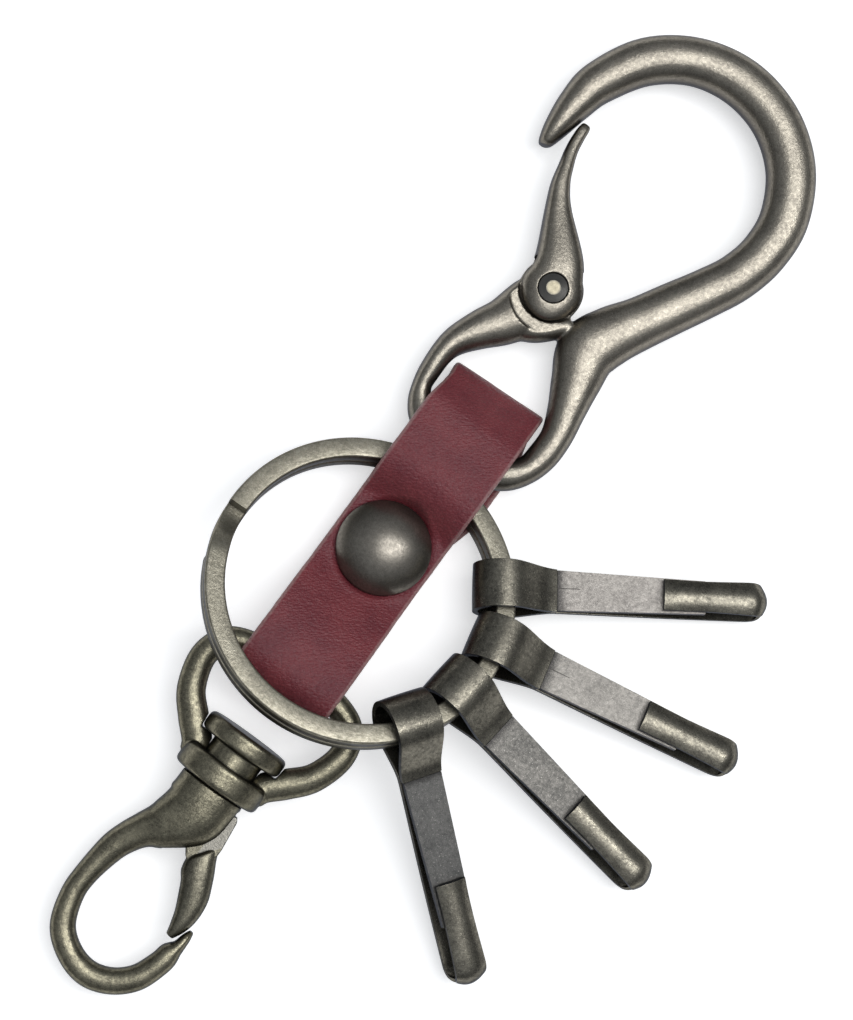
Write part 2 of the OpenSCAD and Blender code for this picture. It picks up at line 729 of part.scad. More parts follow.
module place_snap() {
    translate(snap_pos) rotate([snap_tilt, 0, 0]) children();
}

// Half of the eye, in shares of its width and of its reach, with the bar's half thickness
eye_share = [
    [0.19, 0.02, 0.54], [0.215, 0.12, 0.59], [0.298, 0.25, 0.60], [0.393, 0.42, 0.56],
    [0.442, 0.68, 0.53], [0.397, 0.885, 0.51], [0.285, 0.976, 0.5], [0.14, 0.998, 0.5]
];

function eye_point(s, side) = [
    side * s[0] * eye_w, s[1] * eye_reach, s[2] * eye_bar_d, eye_bar_d / 2
];

module swivel_eye() {
    line = concat(
        [for (s = eye_share) eye_point(s, 1)],
        [[0, eye_reach, eye_bar_d / 2, eye_bar_d / 2]],
        [for (k = [len(eye_share) - 1 : -1 : 0]) eye_point(eye_share[k], -1)]
    );
    color(brass)
    place_snap()
    difference() {
        union() {
            bar(smooth(line, bar_steps), 12, 1);
            rotate([90, 0, 0]) turned_disc(collar_d, collar_h, edge_r);
        }
        rotate([90, 0, 0])
            cylinder(d = stem_d + 2 * stem_clear, h = 2 * collar_h + 2 * cut, center = true, $fn = turned);
        translate([0, collar_h / 2 + head_play - stem_clear, 0]) rotate([-90, 0, 0])
            cylinder(d = head_d + 2 * head_clear, h = head_t + 2 * stem_clear + cut, $fn = turned);
    }
}

// Snap body, in shares of its width and of its reach below the collar; then the half widths and
// half heights in shares of its bar
snap_share = [
    [0.003, 0.006, 1.36, 1.22], [0.002, 0.072, 1.36, 1.21], [-0.02, 0.152, 1.33, 1.16],
    [-0.125, 0.250, 0.98, 1.00], [-0.222, 0.318, 0.70, 0.80], [-0.290, 0.387, 0.61, 0.68],
    [-0.337, 0.464, 0.56, 0.62], [-0.373, 0.605, 0.475, 0.56], [-0.368, 0.715, 0.47, 0.55],
    [-0.289, 0.842, 0.50, 0.55], [-0.131, 0.916, 0.51, 0.55], [0.053, 0.943, 0.53, 0.55],
    [0.230, 0.912, 0.52, 0.55], [0.368, 0.838, 0.51, 0.55], [0.440, 0.735, 0.48, 0.55],
    [0.456, 0.680, 0.45, 0.54], [0.469, 0.652, 0.36, 0.52], [0.481, 0.628, 0.26, 0.49],
    [0.490, 0.580, 0.19, 0.42], [0.497, 0.546, 0.09, 0.25]
];
snap_gate_share = [
    [0.226, 0.263, 0.57, 0.48], [0.257, 0.312, 0.61, 0.55], [0.306, 0.361, 0.61, 0.56],
    [0.3586, 0.428, 0.595, 0.54], [0.389, 0.500, 0.485, 0.50], [0.392, 0.563, 0.34, 0.43],
    [0.380, 0.615, 0.16, 0.27]
];
// Outline of the gate's flat root, in the same shares
root_share = [
    [-0.086, 0.098], [-0.007, 0.049], [0.276, 0.049], [0.296, 0.068], [0.322, 0.194],
    [0.322, 0.228], [0.276, 0.297], [0.184, 0.327], [0.128, 0.300], [0.020, 0.213], [-0.086, 0.141]
];
gate_pivot_share = [0.0395, 0.1217];
// Slot in the shank that the gate's root swings in
slot_share = [
    [-0.118, 0.030], [0.600, 0.030], [0.600, 0.500], [-0.026, 0.377], [-0.049, 0.293],
    [-0.092, 0.198], [-0.118, 0.129]
];
// Place of the mouth of the gate spring's pocket, and where the spring meets the root
pocket_share = [-0.085, 0.213];
spring_end_share = -0.02;

function snap_at(s) = [s[0] * snap_w, -collar_h / 2 - s[1] * snap_reach];
function snap_point(s) = [snap_at(s)[0], snap_at(s)[1], s[2] * snap_bar_d, s[3] * snap_bar_d];

gate_pivot = snap_at(gate_pivot_share);
// Outer diameter and pocket depth of the gate's spring
gate_spring_d = 1.5;
gate_pocket_t = 1.9;
pocket = snap_at(pocket_share);
spring_x = pocket[0] - gate_pocket_t + gate_wire_d / 2 + pin_clear;
spring_end = spring_end_share * snap_w - gate_wire_d / 2 - pin_clear;
// Reach of the pin's bore on the two sides of the gate; the front one is blind
pin_front = 2.2;
pin_back = 3;
// Length of the post, which runs into its head and into the shank
stem_l = collar_h + head_play + head_t / 2 + 2 * edge_r;
// Space round the gate's spring in its pocket
pocket_clear = 0.12;

module snap_body() {
    color(brass)
    place_snap()
    difference() {
        union() {
            bar(smooth([for (s = snap_share) snap_point(s)], bar_steps));
            translate([0, (head_play + head_t / 2) / 2, 0]) rotate([90, 0, 0])
                cylinder(d = stem_d, h = stem_l, center = true, $fn = turned);
            translate([0, collar_h / 2 + head_play + head_t / 2, 0]) rotate([90, 0, 0])
                turned_disc(head_d, head_t, edge_r);
        }
        linear_extrude(root_t + 2 * slot_clear, center = true)
            polygon([for (s = slot_share) snap_at(s)]);
        translate([gate_pivot[0], gate_pivot[1], -2 * snap_bar_d])
            cylinder(d = gate_pin_d, h = 2 * snap_bar_d + pin_front, $fn = turned);
        translate([pocket[0] - gate_pocket_t, pocket[1], 0]) rotate([0, 90, 0])
            cylinder(d = gate_spring_d + 2 * pocket_clear, h = gate_pocket_t + cut, $fn = turned);
    }
}

module snap_gate() {
    color(brass_dark)
    place_snap()
    difference() {
        union() {
            bar(smooth([for (s = snap_gate_share) snap_point(s)], bar_steps), bar_sides);
            linear_extrude(root_t, center = true)
                polygon([for (s = root_share) snap_at(s)]);
        }
        translate([gate_pivot[0], gate_pivot[1], 0])
            cylinder(d = gate_pin_d + 2 * pin_clear, h = 4 * snap_bar_d, center = true, $fn = turned);
    }
}

module snap_pin() {
    color(brass_light)
    place_snap()
    translate([gate_pivot[0], gate_pivot[1], -pin_back])
        cylinder(
            d = gate_pin_d - 2 * press_clear,
            h = pin_back + pin_front - 2 * press_clear,
            $fn = turned
        );
}

module snap_spring() {
    r = (gate_spring_d - gate_wire_d) / 2;
    steps = coil_steps * gate_turns;
    color(brass_light)
    place_snap()
    translate([0, pocket[1], 0])
        wire([
            for (s = [0 : steps])
                let (a = 360 * gate_turns * s / steps)
                [part_way(spring_x, spring_end, s / steps), r * cos(a), r * sin(a)]
        ], gate_wire_d / 2, [1, 0, 0]);
}

strap();
rivet_cap();
rivet_post();
hook_body();
hook_lever();
hook_pivot_pin();
hook_spring();
split_ring();
clip_1();
clip_2();
clip_3();
clip_4();
clip_1_gate();
clip_2_gate();
clip_3_gate();
clip_4_gate();
swivel_eye();
snap_body();
snap_gate();
snap_pin();
snap_spring();
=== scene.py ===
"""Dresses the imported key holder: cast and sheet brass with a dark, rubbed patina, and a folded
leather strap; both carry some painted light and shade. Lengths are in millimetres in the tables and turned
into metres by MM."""
import json
import math

import bmesh
import bpy
import numpy as np
from mathutils import Matrix, Vector, noise


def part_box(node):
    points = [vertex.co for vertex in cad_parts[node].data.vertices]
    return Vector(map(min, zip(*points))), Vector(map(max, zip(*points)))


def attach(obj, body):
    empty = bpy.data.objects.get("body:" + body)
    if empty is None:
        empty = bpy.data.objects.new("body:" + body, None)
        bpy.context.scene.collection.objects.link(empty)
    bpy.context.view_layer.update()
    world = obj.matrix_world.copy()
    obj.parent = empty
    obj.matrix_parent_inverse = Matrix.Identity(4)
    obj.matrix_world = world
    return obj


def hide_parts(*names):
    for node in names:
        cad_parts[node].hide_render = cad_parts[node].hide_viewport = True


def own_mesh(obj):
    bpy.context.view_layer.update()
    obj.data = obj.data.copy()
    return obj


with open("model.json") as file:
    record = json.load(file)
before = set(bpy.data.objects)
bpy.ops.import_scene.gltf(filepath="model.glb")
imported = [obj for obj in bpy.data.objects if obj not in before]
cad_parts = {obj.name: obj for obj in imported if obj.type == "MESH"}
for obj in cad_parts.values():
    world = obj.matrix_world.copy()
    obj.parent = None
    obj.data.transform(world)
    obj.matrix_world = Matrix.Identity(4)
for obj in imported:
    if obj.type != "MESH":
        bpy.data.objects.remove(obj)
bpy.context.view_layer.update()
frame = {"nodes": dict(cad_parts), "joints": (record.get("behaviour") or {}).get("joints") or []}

MM = 0.001
nodes = frame["nodes"]
joints = {j["name"]: j for j in frame["joints"]}


def box_mm(node):
    """Lowest and highest corner of a CAD node, in millimetres."""
    low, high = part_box(node)
    return np.array(low) / MM, np.array(high) / MM


def joint_mm(name):
    """Place of a joint, in millimetres."""
    return np.array(joints[name]["pos_m"]) / MM


# Camera: the photograph's view, from above and a little to the lower left
PHOTO_TURN = math.radians(36)
EYE_AT = Vector((-1.43, -33.923, 350)) * MM
LOOK_AT = Vector((1.383, 6.439, 4)) * MM
SENSOR = 36
LENS = 109.07

photo_right = Vector((math.cos(PHOTO_TURN), math.sin(PHOTO_TURN), 0))
photo_up = Vector((-math.sin(PHOTO_TURN), math.cos(PHOTO_TURN), 0))


def aim(obj, place, target, up):
    """Puts a camera or lamp at a place, looking at a target, with up towards the top."""
    back = (place - target).normalized()
    right = up.cross(back).normalized()
    over = back.cross(right)
    turn = Matrix((right, over, back)).transposed().to_4x4()
    obj.matrix_world = Matrix.Translation(place) @ turn


def make_camera():
    """The camera that took the photo."""
    data = bpy.data.cameras.new("photo_camera")
    data.sensor_width = SENSOR
    data.lens = LENS
    data.clip_start = 0.01
    data.clip_end = 20
    camera = bpy.data.objects.new("photo_camera", data)
    bpy.context.scene.collection.objects.link(camera)
    aim(camera, EYE_AT, LOOK_AT, photo_up)
    bpy.context.scene.camera = camera


make_camera()


# Materials
class Paint:
    """A Principled material with short calls for the nodes that its looks are made of."""

    def __init__(self, name):
        self.material = bpy.data.materials.new(name)
        self.material.use_nodes = True
        self.tree = self.material.node_tree
        self.shader = self.tree.nodes["Principled BSDF"]
        self.place = self.tree.nodes.new("ShaderNodeTexCoord").outputs["Object"]

    def node(self, kind, settings=None, inputs=None):
        """A node with its settings, and its inputs as values or links."""
        made = self.tree.nodes.new(kind)
        for key, value in (settings or {}).items():
            setattr(made, key, value)
        for key, value in (inputs or {}).items():
            if isinstance(value, bpy.types.NodeSocket):
                self.tree.links.new(value, made.inputs[key])
            else:
                made.inputs[key].default_value = value
        return made

    def stretched(self, scale, turn):
        """Object coordinates, turned about Z and then stretched."""
        turned = self.node("ShaderNodeMapping", None, {"Vector": self.place, "Rotation": (0, 0, turn)})
        return self.node("ShaderNodeMapping", None, {"Vector": turned.outputs[0], "Scale": scale}).outputs[0]

    def noise(self, size, detail=2.0, rough=0.5):
        """Noise whose features are about size millimetres across."""
        inputs = {"Vector": self.place, "Scale": 1 / (size * MM), "Detail": detail, "Roughness": rough}
        return self.node("ShaderNodeTexNoise", None, inputs).outputs["Fac"]

    def cells(self, size, place, feature="F1"):
        """Cells about size millimetres across: distance to their middles, or to their edges."""
        inputs = {"Vector": place, "Scale": 1 / (size * MM)}
        return self.node("ShaderNodeTexVoronoi", {"feature": feature}, inputs).outputs["Distance"]

    def span(self, value, low, high, to_low=0.0, to_high=1.0):
        """Maps low to high onto to_low to to_high, and holds it there."""
        inputs = {"Value": value, "From Min": low, "From Max": high, "To Min": to_low, "To Max": to_high}
        return self.node("ShaderNodeMapRange", {"clamp": True}, inputs).outputs[0]

    def math(self, how, a, b):
        """One operation on two values."""
        return self.node("ShaderNodeMath", {"operation": how}, {0: a, 1: b}).outputs[0]

    def mix(self, share, a, b):
        """Colour a, with a share of colour b over it."""
        inputs = {"Factor": share, 6: a, 7: b}
        return self.node("ShaderNodeMix", {"data_type": "RGBA"}, inputs).outputs[2]

    def bump(self, height, depth, normal=None):
        """Bump whose full height is depth millimetres."""
        inputs = {"Height": height, "Distance": depth * MM, "Strength": 1.0}
        if normal is not None:
            inputs["Normal"] = normal
        return self.node("ShaderNodeBump", None, inputs).outputs[0]

    def upward(self):
        """How far the surface faces up in the part's own frame, from -1 to 1."""
        normal = self.node("ShaderNodeTexCoord").outputs["Normal"]
        return self.node("ShaderNodeSeparateXYZ", None, {0: normal}).outputs["Z"]

    def set(self, socket, value):
        """Sets or links one of the shader's sockets."""
        if isinstance(value, bpy.types.NodeSocket):
            self.tree.links.new(value, self.shader.inputs[socket])
        else:
            self.shader.inputs[socket].default_value = value


def rgb(r, g, b):
    """An opaque colour."""
    return (r, g, b, 1.0)


# How the metal ages, and where light and shade are painted on it: sizes of its marks in millimetres, and the
# range of each pattern that shows
CLOUD_SIZE = 2.4
CAST_SIZE = 0.42
SPECKLE_SIZE = 0.13
TONE_SHARES = (0.25, 0.4, 0.35)
WORN_RANGE = (0.37, 0.63)
# Sides keep this share of the lighter tone that tops get: partly wear, partly painted light on the tops
SIDE_WEAR_AND_LIGHT = 0.35
# Bright flecks on upward faces: partly rubbed spots, partly painted glints
FLECK_SIZE = 0.17
FLECK_RANGE = (0.64, 0.72)
TOP_RANGE = (0.1, 1.0)
# Faces that turn to the side get painted shade, tinted bluish as a painted reflection
STEEP_RANGE = (0.05, 0.6)
STEEP_SHADE = 0.75
STEEP_SHADE_TINT = (0.4, 0.42, 0.5)
EDGE_TINT = rgb(0.4, 0.42, 0.47)
FINE_SIZE = 0.2
CAST_DEPTH = 0.022
FINE_DEPTH = 0.02


def aged_metal(name, dark, light, rubbed_and_glint, rough=0.3, fleck=0.5, grain=1.0, extra=None):
    """Brass under a dark patina: soft patches, a fine cast grain, a lighter tone on tops that is partly
    painted light, bright flecks that are partly rubbed and partly painted glints, and painted shade on the
    sides.
    extra takes the paint, its colour and its speckle, and gives the colour back with more on it."""
    p = Paint(name)
    cast_grain = p.noise(CAST_SIZE, 3.0, 0.6)
    speckle = p.noise(SPECKLE_SIZE, 2.0, 0.6)
    tone = 0.0
    for pattern, share in zip((p.noise(CLOUD_SIZE), cast_grain, speckle), TONE_SHARES):
        tone = p.math("ADD", tone, p.math("MULTIPLY", pattern, share))
    # Tops get more of the lighter tone than sides: partly wear, partly painted light from above
    up = p.span(p.upward(), *TOP_RANGE)
    wear_and_top_light = p.math("MULTIPLY", p.span(tone, *WORN_RANGE), p.span(up, 0.0, 1.0, SIDE_WEAR_AND_LIGHT, 1.0))
    colour = p.mix(wear_and_top_light, dark, light)
    # Bright flecks on upward faces, partly rubbed spots and partly painted glints
    glint_spots = p.span(p.noise(FLECK_SIZE, 2.0, 0.7), *FLECK_RANGE)
    colour = p.mix(p.math("MULTIPLY", p.math("MULTIPLY", glint_spots, up), fleck), colour, rubbed_and_glint)
    # Painted shade on faces that turn to the side, tinted bluish as a painted reflection
    steep = p.span(p.upward(), *STEEP_RANGE, STEEP_SHADE, 0.0)
    colour = p.mix(steep, colour, rgb(*(part * tint for part, tint in zip(dark, STEEP_SHADE_TINT))))
    if extra is not None:
        colour = extra(p, colour, speckle)
    p.set("Base Color", colour)
    p.set("Metallic", 0.95)
    p.set("Specular Tint", EDGE_TINT)
    p.set("Roughness", p.span(cast_grain, 0.3, 0.7, rough + 0.08, rough - 0.03))
    fine = p.noise(FINE_SIZE, 3.0, 0.65)
    p.set("Normal", p.bump(fine, FINE_DEPTH * grain, p.bump(cast_grain, CAST_DEPTH * grain)))
    return p.material


# The snap gate's bare root, and the pin's struck middle with its dark ring, in millimetres
BARE_METAL = rgb(0.23, 0.22, 0.195)
PEENED_R = 0.6
PEEN_RING_R = 0.9
# The pin's dark ring: partly patina in its recess, partly painted shade there
PEEN_RING = rgb(0.1, 0.097, 0.09)


def machined(p, colour, speckle):
    """Lightens the faces that a piece marks as machined flat."""
    marked = p.node("ShaderNodeAttribute", {"attribute_name": "flat"}).outputs["Fac"]
    return p.mix(p.math("MULTIPLY", marked, p.span(speckle, 0.3, 0.7, 0.7, 1.0)), colour, BARE_METAL)


def peened(p, colour, speckle):
    """A dark ring round the bright, struck middle of the lever's pin: partly patina in its recess, partly
    painted shade.
    """
    x, y, _ = joint_mm("lever_pivot") * MM
    level = p.node("ShaderNodeVectorMath", {"operation": "MULTIPLY"}, {0: p.place, 1: (1, 1, 0)})
    away = p.node("ShaderNodeVectorMath", {"operation": "DISTANCE"}, {0: level.outputs[0], 1: (x, y, 0)})
    return p.mix(p.span(away.outputs["Value"], PEENED_R * MM, PEEN_RING_R * MM), colour, PEEN_RING)


# The clips' leaves: how far the painted shade at the root reaches, its ragged edge, and the hairline's place
ROOT_FROM = 0.15
ROOT_REACH = {1: 1.2, 2: 1.2, 3: 0.8, 4: 0.8}
ROOT_RAGGED = 1.2
ROOT_SHADE = 0.9
# The colour of the painted shade at the root
ROOT_SHADE_COLOUR = rgb(0.045, 0.043, 0.042)
SCRATCHED = (1, 2)
SCRATCH_OFF = 0.25
SCRATCH_WIDTH = (0.03, 0.07)
SCRATCH_END = (2.6, 2.7)
SCRATCH_SHADE = 0.75
SCRATCH_COLOUR = rgb(0.04, 0.038, 0.035)


def leaf_root_shade_and_mark(i):
    """The leaf's own marks: painted shade where it springs from under the strip, and a hairline mark on two.
    """
    root = Vector(joints[f"clip_{i}_gate"]["pos_m"])
    run = (root - Vector(joints[f"clip_{i}_swing"]["pos_m"])).normalized()
    across = Vector(joints[f"clip_{i}_gate"]["axis"])
    start = min((v.co - root).dot(run) for v in nodes[f"clip_{i}_gate"].data.vertices)

    def finish(p, colour, speckle):
        subtract = {"operation": "SUBTRACT"}
        out = p.node("ShaderNodeVectorMath", subtract, {0: p.place, 1: tuple(root)}).outputs[0]

        def along(way):
            inputs = {0: out, 1: tuple(way)}
            return p.node("ShaderNodeVectorMath", {"operation": "DOT_PRODUCT"}, inputs).outputs["Value"]

        x = p.math("SUBTRACT", along(run), start)
        # Painted shade at the root, where the leaf goes under the strip's loop
        ragged = p.math("MULTIPLY", p.math("SUBTRACT", speckle, 0.5), ROOT_RAGGED * MM)
        shade = p.span(p.math("ADD", x, ragged), ROOT_FROM * MM, ROOT_REACH[i] * MM, ROOT_SHADE, 0.0)
        colour = p.mix(shade, colour, ROOT_SHADE_COLOUR)
        if i not in SCRATCHED:
            return colour
        off = p.math("ABSOLUTE", p.math("SUBTRACT", along(across), SCRATCH_OFF * MM), 0.0)
        thin = p.span(off, SCRATCH_WIDTH[0] * MM, SCRATCH_WIDTH[1] * MM, 1.0, 0.0)
        short = p.span(x, SCRATCH_END[0] * MM, SCRATCH_END[1] * MM, 1.0, 0.0)
        line = p.math("MULTIPLY", thin, short)
        return p.mix(p.math("MULTIPLY", line, SCRATCH_SHADE), colour, SCRATCH_COLOUR)

    return finish


def metal(name, dark, light, rubbed_and_glint, *finish):
    """An aged metal from its dark and light colours, the colour of its flecks (rubbed spots and painted
    glints), its roughness, flecks, grain and extra.
    """
    return aged_metal(name, rgb(*dark), rgb(*light), rgb(*rubbed_and_glint), *finish)


METALS = {
    "cast": metal("cast_brass", (0.165, 0.15, 0.126), (0.345, 0.316, 0.262), (0.76, 0.715, 0.6)),
    "ring": metal("ring_brass", (0.18, 0.167, 0.13), (0.42, 0.39, 0.31), (0.85, 0.8, 0.66), 0.33),
    "strip": metal("strip_brass", (0.07, 0.066, 0.055), (0.275, 0.255, 0.205), (0.75, 0.7, 0.58),
                   0.28, 0.45, 0.6),
    "snap": metal("snap_brass", (0.09, 0.084, 0.062), (0.31, 0.286, 0.205), (0.72, 0.66, 0.46), 0.3, 0.45),
    "gate": metal("gate_brass", (0.085, 0.08, 0.062), (0.25, 0.232, 0.175), (0.6, 0.56, 0.42),
                  0.32, 0.4, 1.0, machined),
    "cap": metal("cap_brass", (0.15, 0.138, 0.118), (0.28, 0.257, 0.22), (0.55, 0.52, 0.46),
                 0.31, 0.25, 0.5),
    "pin": metal("pin_brass", (0.25, 0.225, 0.165), (0.35, 0.315, 0.23), (0.6, 0.55, 0.42),
                 0.36, 0.3, 0.5, peened),
    "wire": metal("wire_steel", (0.25, 0.25, 0.25), (0.4, 0.4, 0.4), (0.6, 0.6, 0.6), 0.25, 0.2, 0.3),
}
# The leaves' flecks: partly rubbed spots, partly painted glints
LEAF_RUBBED_AND_GLINT = (0.75, 0.72, 0.66)
# The same leaf brass, lighter on leaves 1 and 2 and darker on 3 and 4: painted light and shade for how each
# leaf lies
LEAF_COLOURS = {
    1: ((0.21, 0.195, 0.18), (0.38, 0.355, 0.325)),
    2: ((0.19, 0.18, 0.165), (0.35, 0.33, 0.3)),
    3: ((0.085, 0.083, 0.078), (0.19, 0.18, 0.165)),
    4: ((0.08, 0.08, 0.077), (0.17, 0.165, 0.157)),
}
LEAVES = {
    i: metal(f"leaf_{i}_brass", dark, light, LEAF_RUBBED_AND_GLINT, 0.4, 0.5, 0.6, leaf_root_shade_and_mark(i))
    for i, (dark, light) in LEAF_COLOURS.items()
}

# Leather: its colours, the sizes of its grain in millimetres, and how the grain runs
LEATHER_DARK = rgb(0.150, 0.026, 0.034)
LEATHER_LIGHT = rgb(0.205, 0.039, 0.046)
LEATHER_CREASE = rgb(0.06, 0.011, 0.018)
LEATHER_DUSTY = rgb(0.27, 0.06, 0.068)
LEATHER_EDGE = rgb(0.36, 0.22, 0.21)
LEATHER_CLOUD = 4.5
LEATHER_FINE = 0.3
PEBBLE_SIZE = 0.5
PORE_SIZE = 0.17
GRAIN_SHAPE = (1.0, 2.0, 1.0)
GRAIN_TURN = math.radians(-38)
GRAIN_DEPTH = 0.1


def leather_paint():
    """Burgundy grained leather with paler edges, partly burnished and partly a painted highlight."""
    p = Paint("burgundy_leather")
    clouds = p.noise(LEATHER_CLOUD, 3.0, 0.55)
    fine = p.noise(LEATHER_FINE, 3.0, 0.6)
    colour = p.mix(p.span(clouds, 0.35, 0.65), LEATHER_DARK, LEATHER_LIGHT)
    grain = p.stretched(GRAIN_SHAPE, GRAIN_TURN)
    pebbles = p.cells(PEBBLE_SIZE, grain)
    creases = p.cells(PEBBLE_SIZE, grain, "DISTANCE_TO_EDGE")
    pores = p.noise(PORE_SIZE, 3.0, 0.65)
    # Darker in the grain's creases: painted shade
    colour = p.mix(p.span(creases, 0.0, 0.12, 0.35, 0.0), colour, LEATHER_CREASE)
    colour = p.mix(p.span(fine, 0.5, 0.75, 0.0, 0.3), colour, LEATHER_DUSTY)
    edge = p.node("ShaderNodeAttribute", {"attribute_name": "edge"}).outputs["Fac"]
    # Paler edges: partly burnished, partly a painted highlight on their rounded corners
    colour = p.mix(p.math("MULTIPLY", edge, p.span(fine, 0.3, 0.7, 0.35, 0.8)), colour, LEATHER_EDGE)
    p.set("Base Color", colour)
    p.set("Roughness", p.span(pores, 0.3, 0.7, 0.27, 0.42))
    p.set("Specular IOR Level", 0.4)
    height = p.math("ADD", p.math("MULTIPLY", pebbles, -0.8), p.math("MULTIPLY", pores, 0.9))
    p.set("Normal", p.bump(height, GRAIN_DEPTH))
    return p.material


LEATHER = leather_paint()


# Mesh making: the rows between two knots of a bar
ROW_STEPS = 8


def new_piece(name, points, faces, material, sharp=None):
    """A smooth-shaded mesh object, from points in millimetres."""
    mesh = bpy.data.meshes.new(name)
    mesh.from_pydata([Vector(p) * MM for p in points], [], faces)
    mesh.validate()
    mesh.update()
    mesh.shade_smooth()
    mesh.materials.append(material)
    obj = bpy.data.objects.new(name, mesh)
    bpy.context.scene.collection.objects.link(obj)
    if sharp is not None:
        mesh.set_sharp_from_angle(angle=math.radians(sharp))
    return obj


def smooth(knots, steps):
    """A smooth line through chosen rows of numbers."""
    k = np.array(knots, float)
    out = []
    for i in range(len(k) - 1):
        a, b, c, d = (k[min(max(j, 0), len(k) - 1)] for j in (i - 1, i, i + 1, i + 2))
        for s in range(steps):
            t = s / steps
            square = (2 * a - 5 * b + 4 * c - d) * t ** 2
            cube = (3 * b - a - 3 * c + d) * t ** 3
            out.append((2 * b + (c - a) * t + square + cube) / 2)
    out.append(k[-1])
    return np.array(out)


def skin(rings, loop=False):
    """Points and faces of a closed skin over rings of points, capped unless it loops."""
    m, n = len(rings), len(rings[0])
    faces = []
    for i in range(m if loop else m - 1):
        for j in range(n):
            a, b = i * n + j, i * n + (j + 1) % n
            c, d = ((i + 1) % m) * n + (j + 1) % n, ((i + 1) % m) * n + j
            faces.append((a, b, c, d))
    if not loop:
        faces.append(tuple(range(n - 1, -1, -1)))
        faces.append(tuple((m - 1) * n + j for j in range(n)))
    return [p for ring in rings for p in ring], faces


def bar(rows, sides=40, full=0.9):
    """A cast bar in a plane, through rows of place, half width and half height. Its section is an
    ellipse, and squarer with a lower full."""
    rings = []
    for i, (x, y, wide, high) in enumerate(rows):
        before, after = rows[max(i - 1, 0)], rows[min(i + 1, len(rows) - 1)]
        run = (after[:2] - before[:2]) / np.linalg.norm(after[:2] - before[:2])
        ring = []
        for j in range(sides):
            t = 2 * math.pi * (j + 0.5) / sides
            c = math.copysign(abs(math.cos(t)) ** full, math.cos(t))
            s = math.copysign(abs(math.sin(t)) ** full, math.sin(t))
            ring.append((x - run[1] * wide * c, y + run[0] * wide * c, high * s))
        rings.append(ring)
    return skin(rings)


# A cut end's rim: its half width and height as shares of the bar's, and how far out it lies
RIM_SHRINK = (1, 1, 0.95, 0.8)
RIM_OUT = 0.3


def aslant(rows, slope, reach):
    """A bar with a rounded first end that is cut aslant and comes straight after reach."""
    run = (rows[1] - rows[0])[:2]
    run /= np.linalg.norm(run)
    rim = rows[0] * RIM_SHRINK
    rim[:2] -= RIM_OUT * run
    points, faces = bar(np.vstack([rim, rows]))
    out = []
    for x, y, z in points:
        off = np.array([x, y]) - rows[0][:2]
        shift = slope * (off @ (run[1], -run[0])) * max(0.0, 1 - max(0.0, off @ run) / reach)
        out.append((x + shift * run[0], y + shift * run[1], z))
    return out, faces


# The smallest radius of a turned solid, in millimetres, so that its rings never close up
AXIS_R = 1e-4


def lathe(profile, sides=96):
    """A turned solid about Z, through points of radius and height."""
    angles = [2 * math.pi * j / sides for j in range(sides)]
    rings = []
    for r, z in profile:
        r = max(r, AXIS_R)
        rings.append([(r * math.cos(a), r * math.sin(a), z) for a in angles])
    return skin(rings)


def disc(radius, height, edge):
    """A turned disc with rims rounded by edge, centred on the origin."""
    out = [(0, -height / 2)]
    for sign in (-1, 1):
        for s in range(5):
            t = math.radians(90 * s / 4)
            turn = (math.sin(t), math.cos(t)) if sign < 0 else (math.cos(t), math.sin(t))
            out.append((radius - edge + edge * turn[0], sign * (height / 2 - edge + edge * turn[1])))
    out.append((0, height / 2))
    return lathe(out)


def moved(shape, turn, place):
    """A shape turned by a matrix and then moved, in millimetres."""
    points, faces = shape
    return [tuple(turn @ Vector(p) + Vector(place)) for p in points], faces


def joined(shapes):
    """Several closed shapes as one list of points and one of faces."""
    points, faces = [], []
    for more_points, more_faces in shapes:
        faces += [tuple(len(points) + i for i in face) for face in more_faces]
        points += list(more_points)
    return points, faces


def cast(name, material, solids, cuts, voxel, rounds):
    """One casting: solids melted into each other, cuts taken out, and all its edges softened.
    voxel is its finest detail in millimetres, and rounds says how often it is smoothed."""
    base = new_piece(name, *joined(solids), material)
    helpers = []

    def melt():
        remesh = base.modifiers.new("melt", "REMESH")
        remesh.mode = "VOXEL"
        remesh.voxel_size = voxel * MM

    melt()
    for shape in cuts:
        helper = new_piece("helper", *shape, material)
        helpers.append(helper)
        step = base.modifiers.new("cut", "BOOLEAN")
        step.operation = "DIFFERENCE"
        step.solver = "EXACT"
        step.object = helper
    if cuts:
        melt()
    soften = base.modifiers.new("soften", "SMOOTH")
    soften.factor = 0.5
    soften.iterations = rounds
    bpy.context.view_layer.update()
    done = bpy.data.meshes.new_from_object(base.evaluated_get(bpy.context.evaluated_depsgraph_get()))
    base.modifiers.clear()
    base.data = done
    done.name = name
    done.shade_smooth()
    done.materials.clear()
    done.materials.append(material)
    for helper in helpers:
        bpy.data.objects.remove(helper)
    return base


def dress(obj, body, node):
    """Gives a piece its body, and hides the CAD node that it stands for."""
    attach(obj, body)
    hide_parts(node)


# Split ring, in millimetres and degrees: it starts at RING_START and climbs onto its own first turn
RING_D = 35.2
RING_WIRE_W = 2.3
RING_WIRE_T = 1.64
RING_GAP = 0.07
RING_X = 0.7
RING_EDGE_R = 0.28
RING_H = 2 * RING_WIRE_T + RING_GAP
RING_MID_R = (RING_D - RING_WIRE_W) / 2
RING_START = 204
RING_STEP = 2.0
CLIMB_FROM = 340
CLIMB_TO = 359
RING_END = 698
clip_axis = joints["clip_1_swing"]["axis"]
RING_TILT = math.atan2(-clip_axis[2], clip_axis[1])

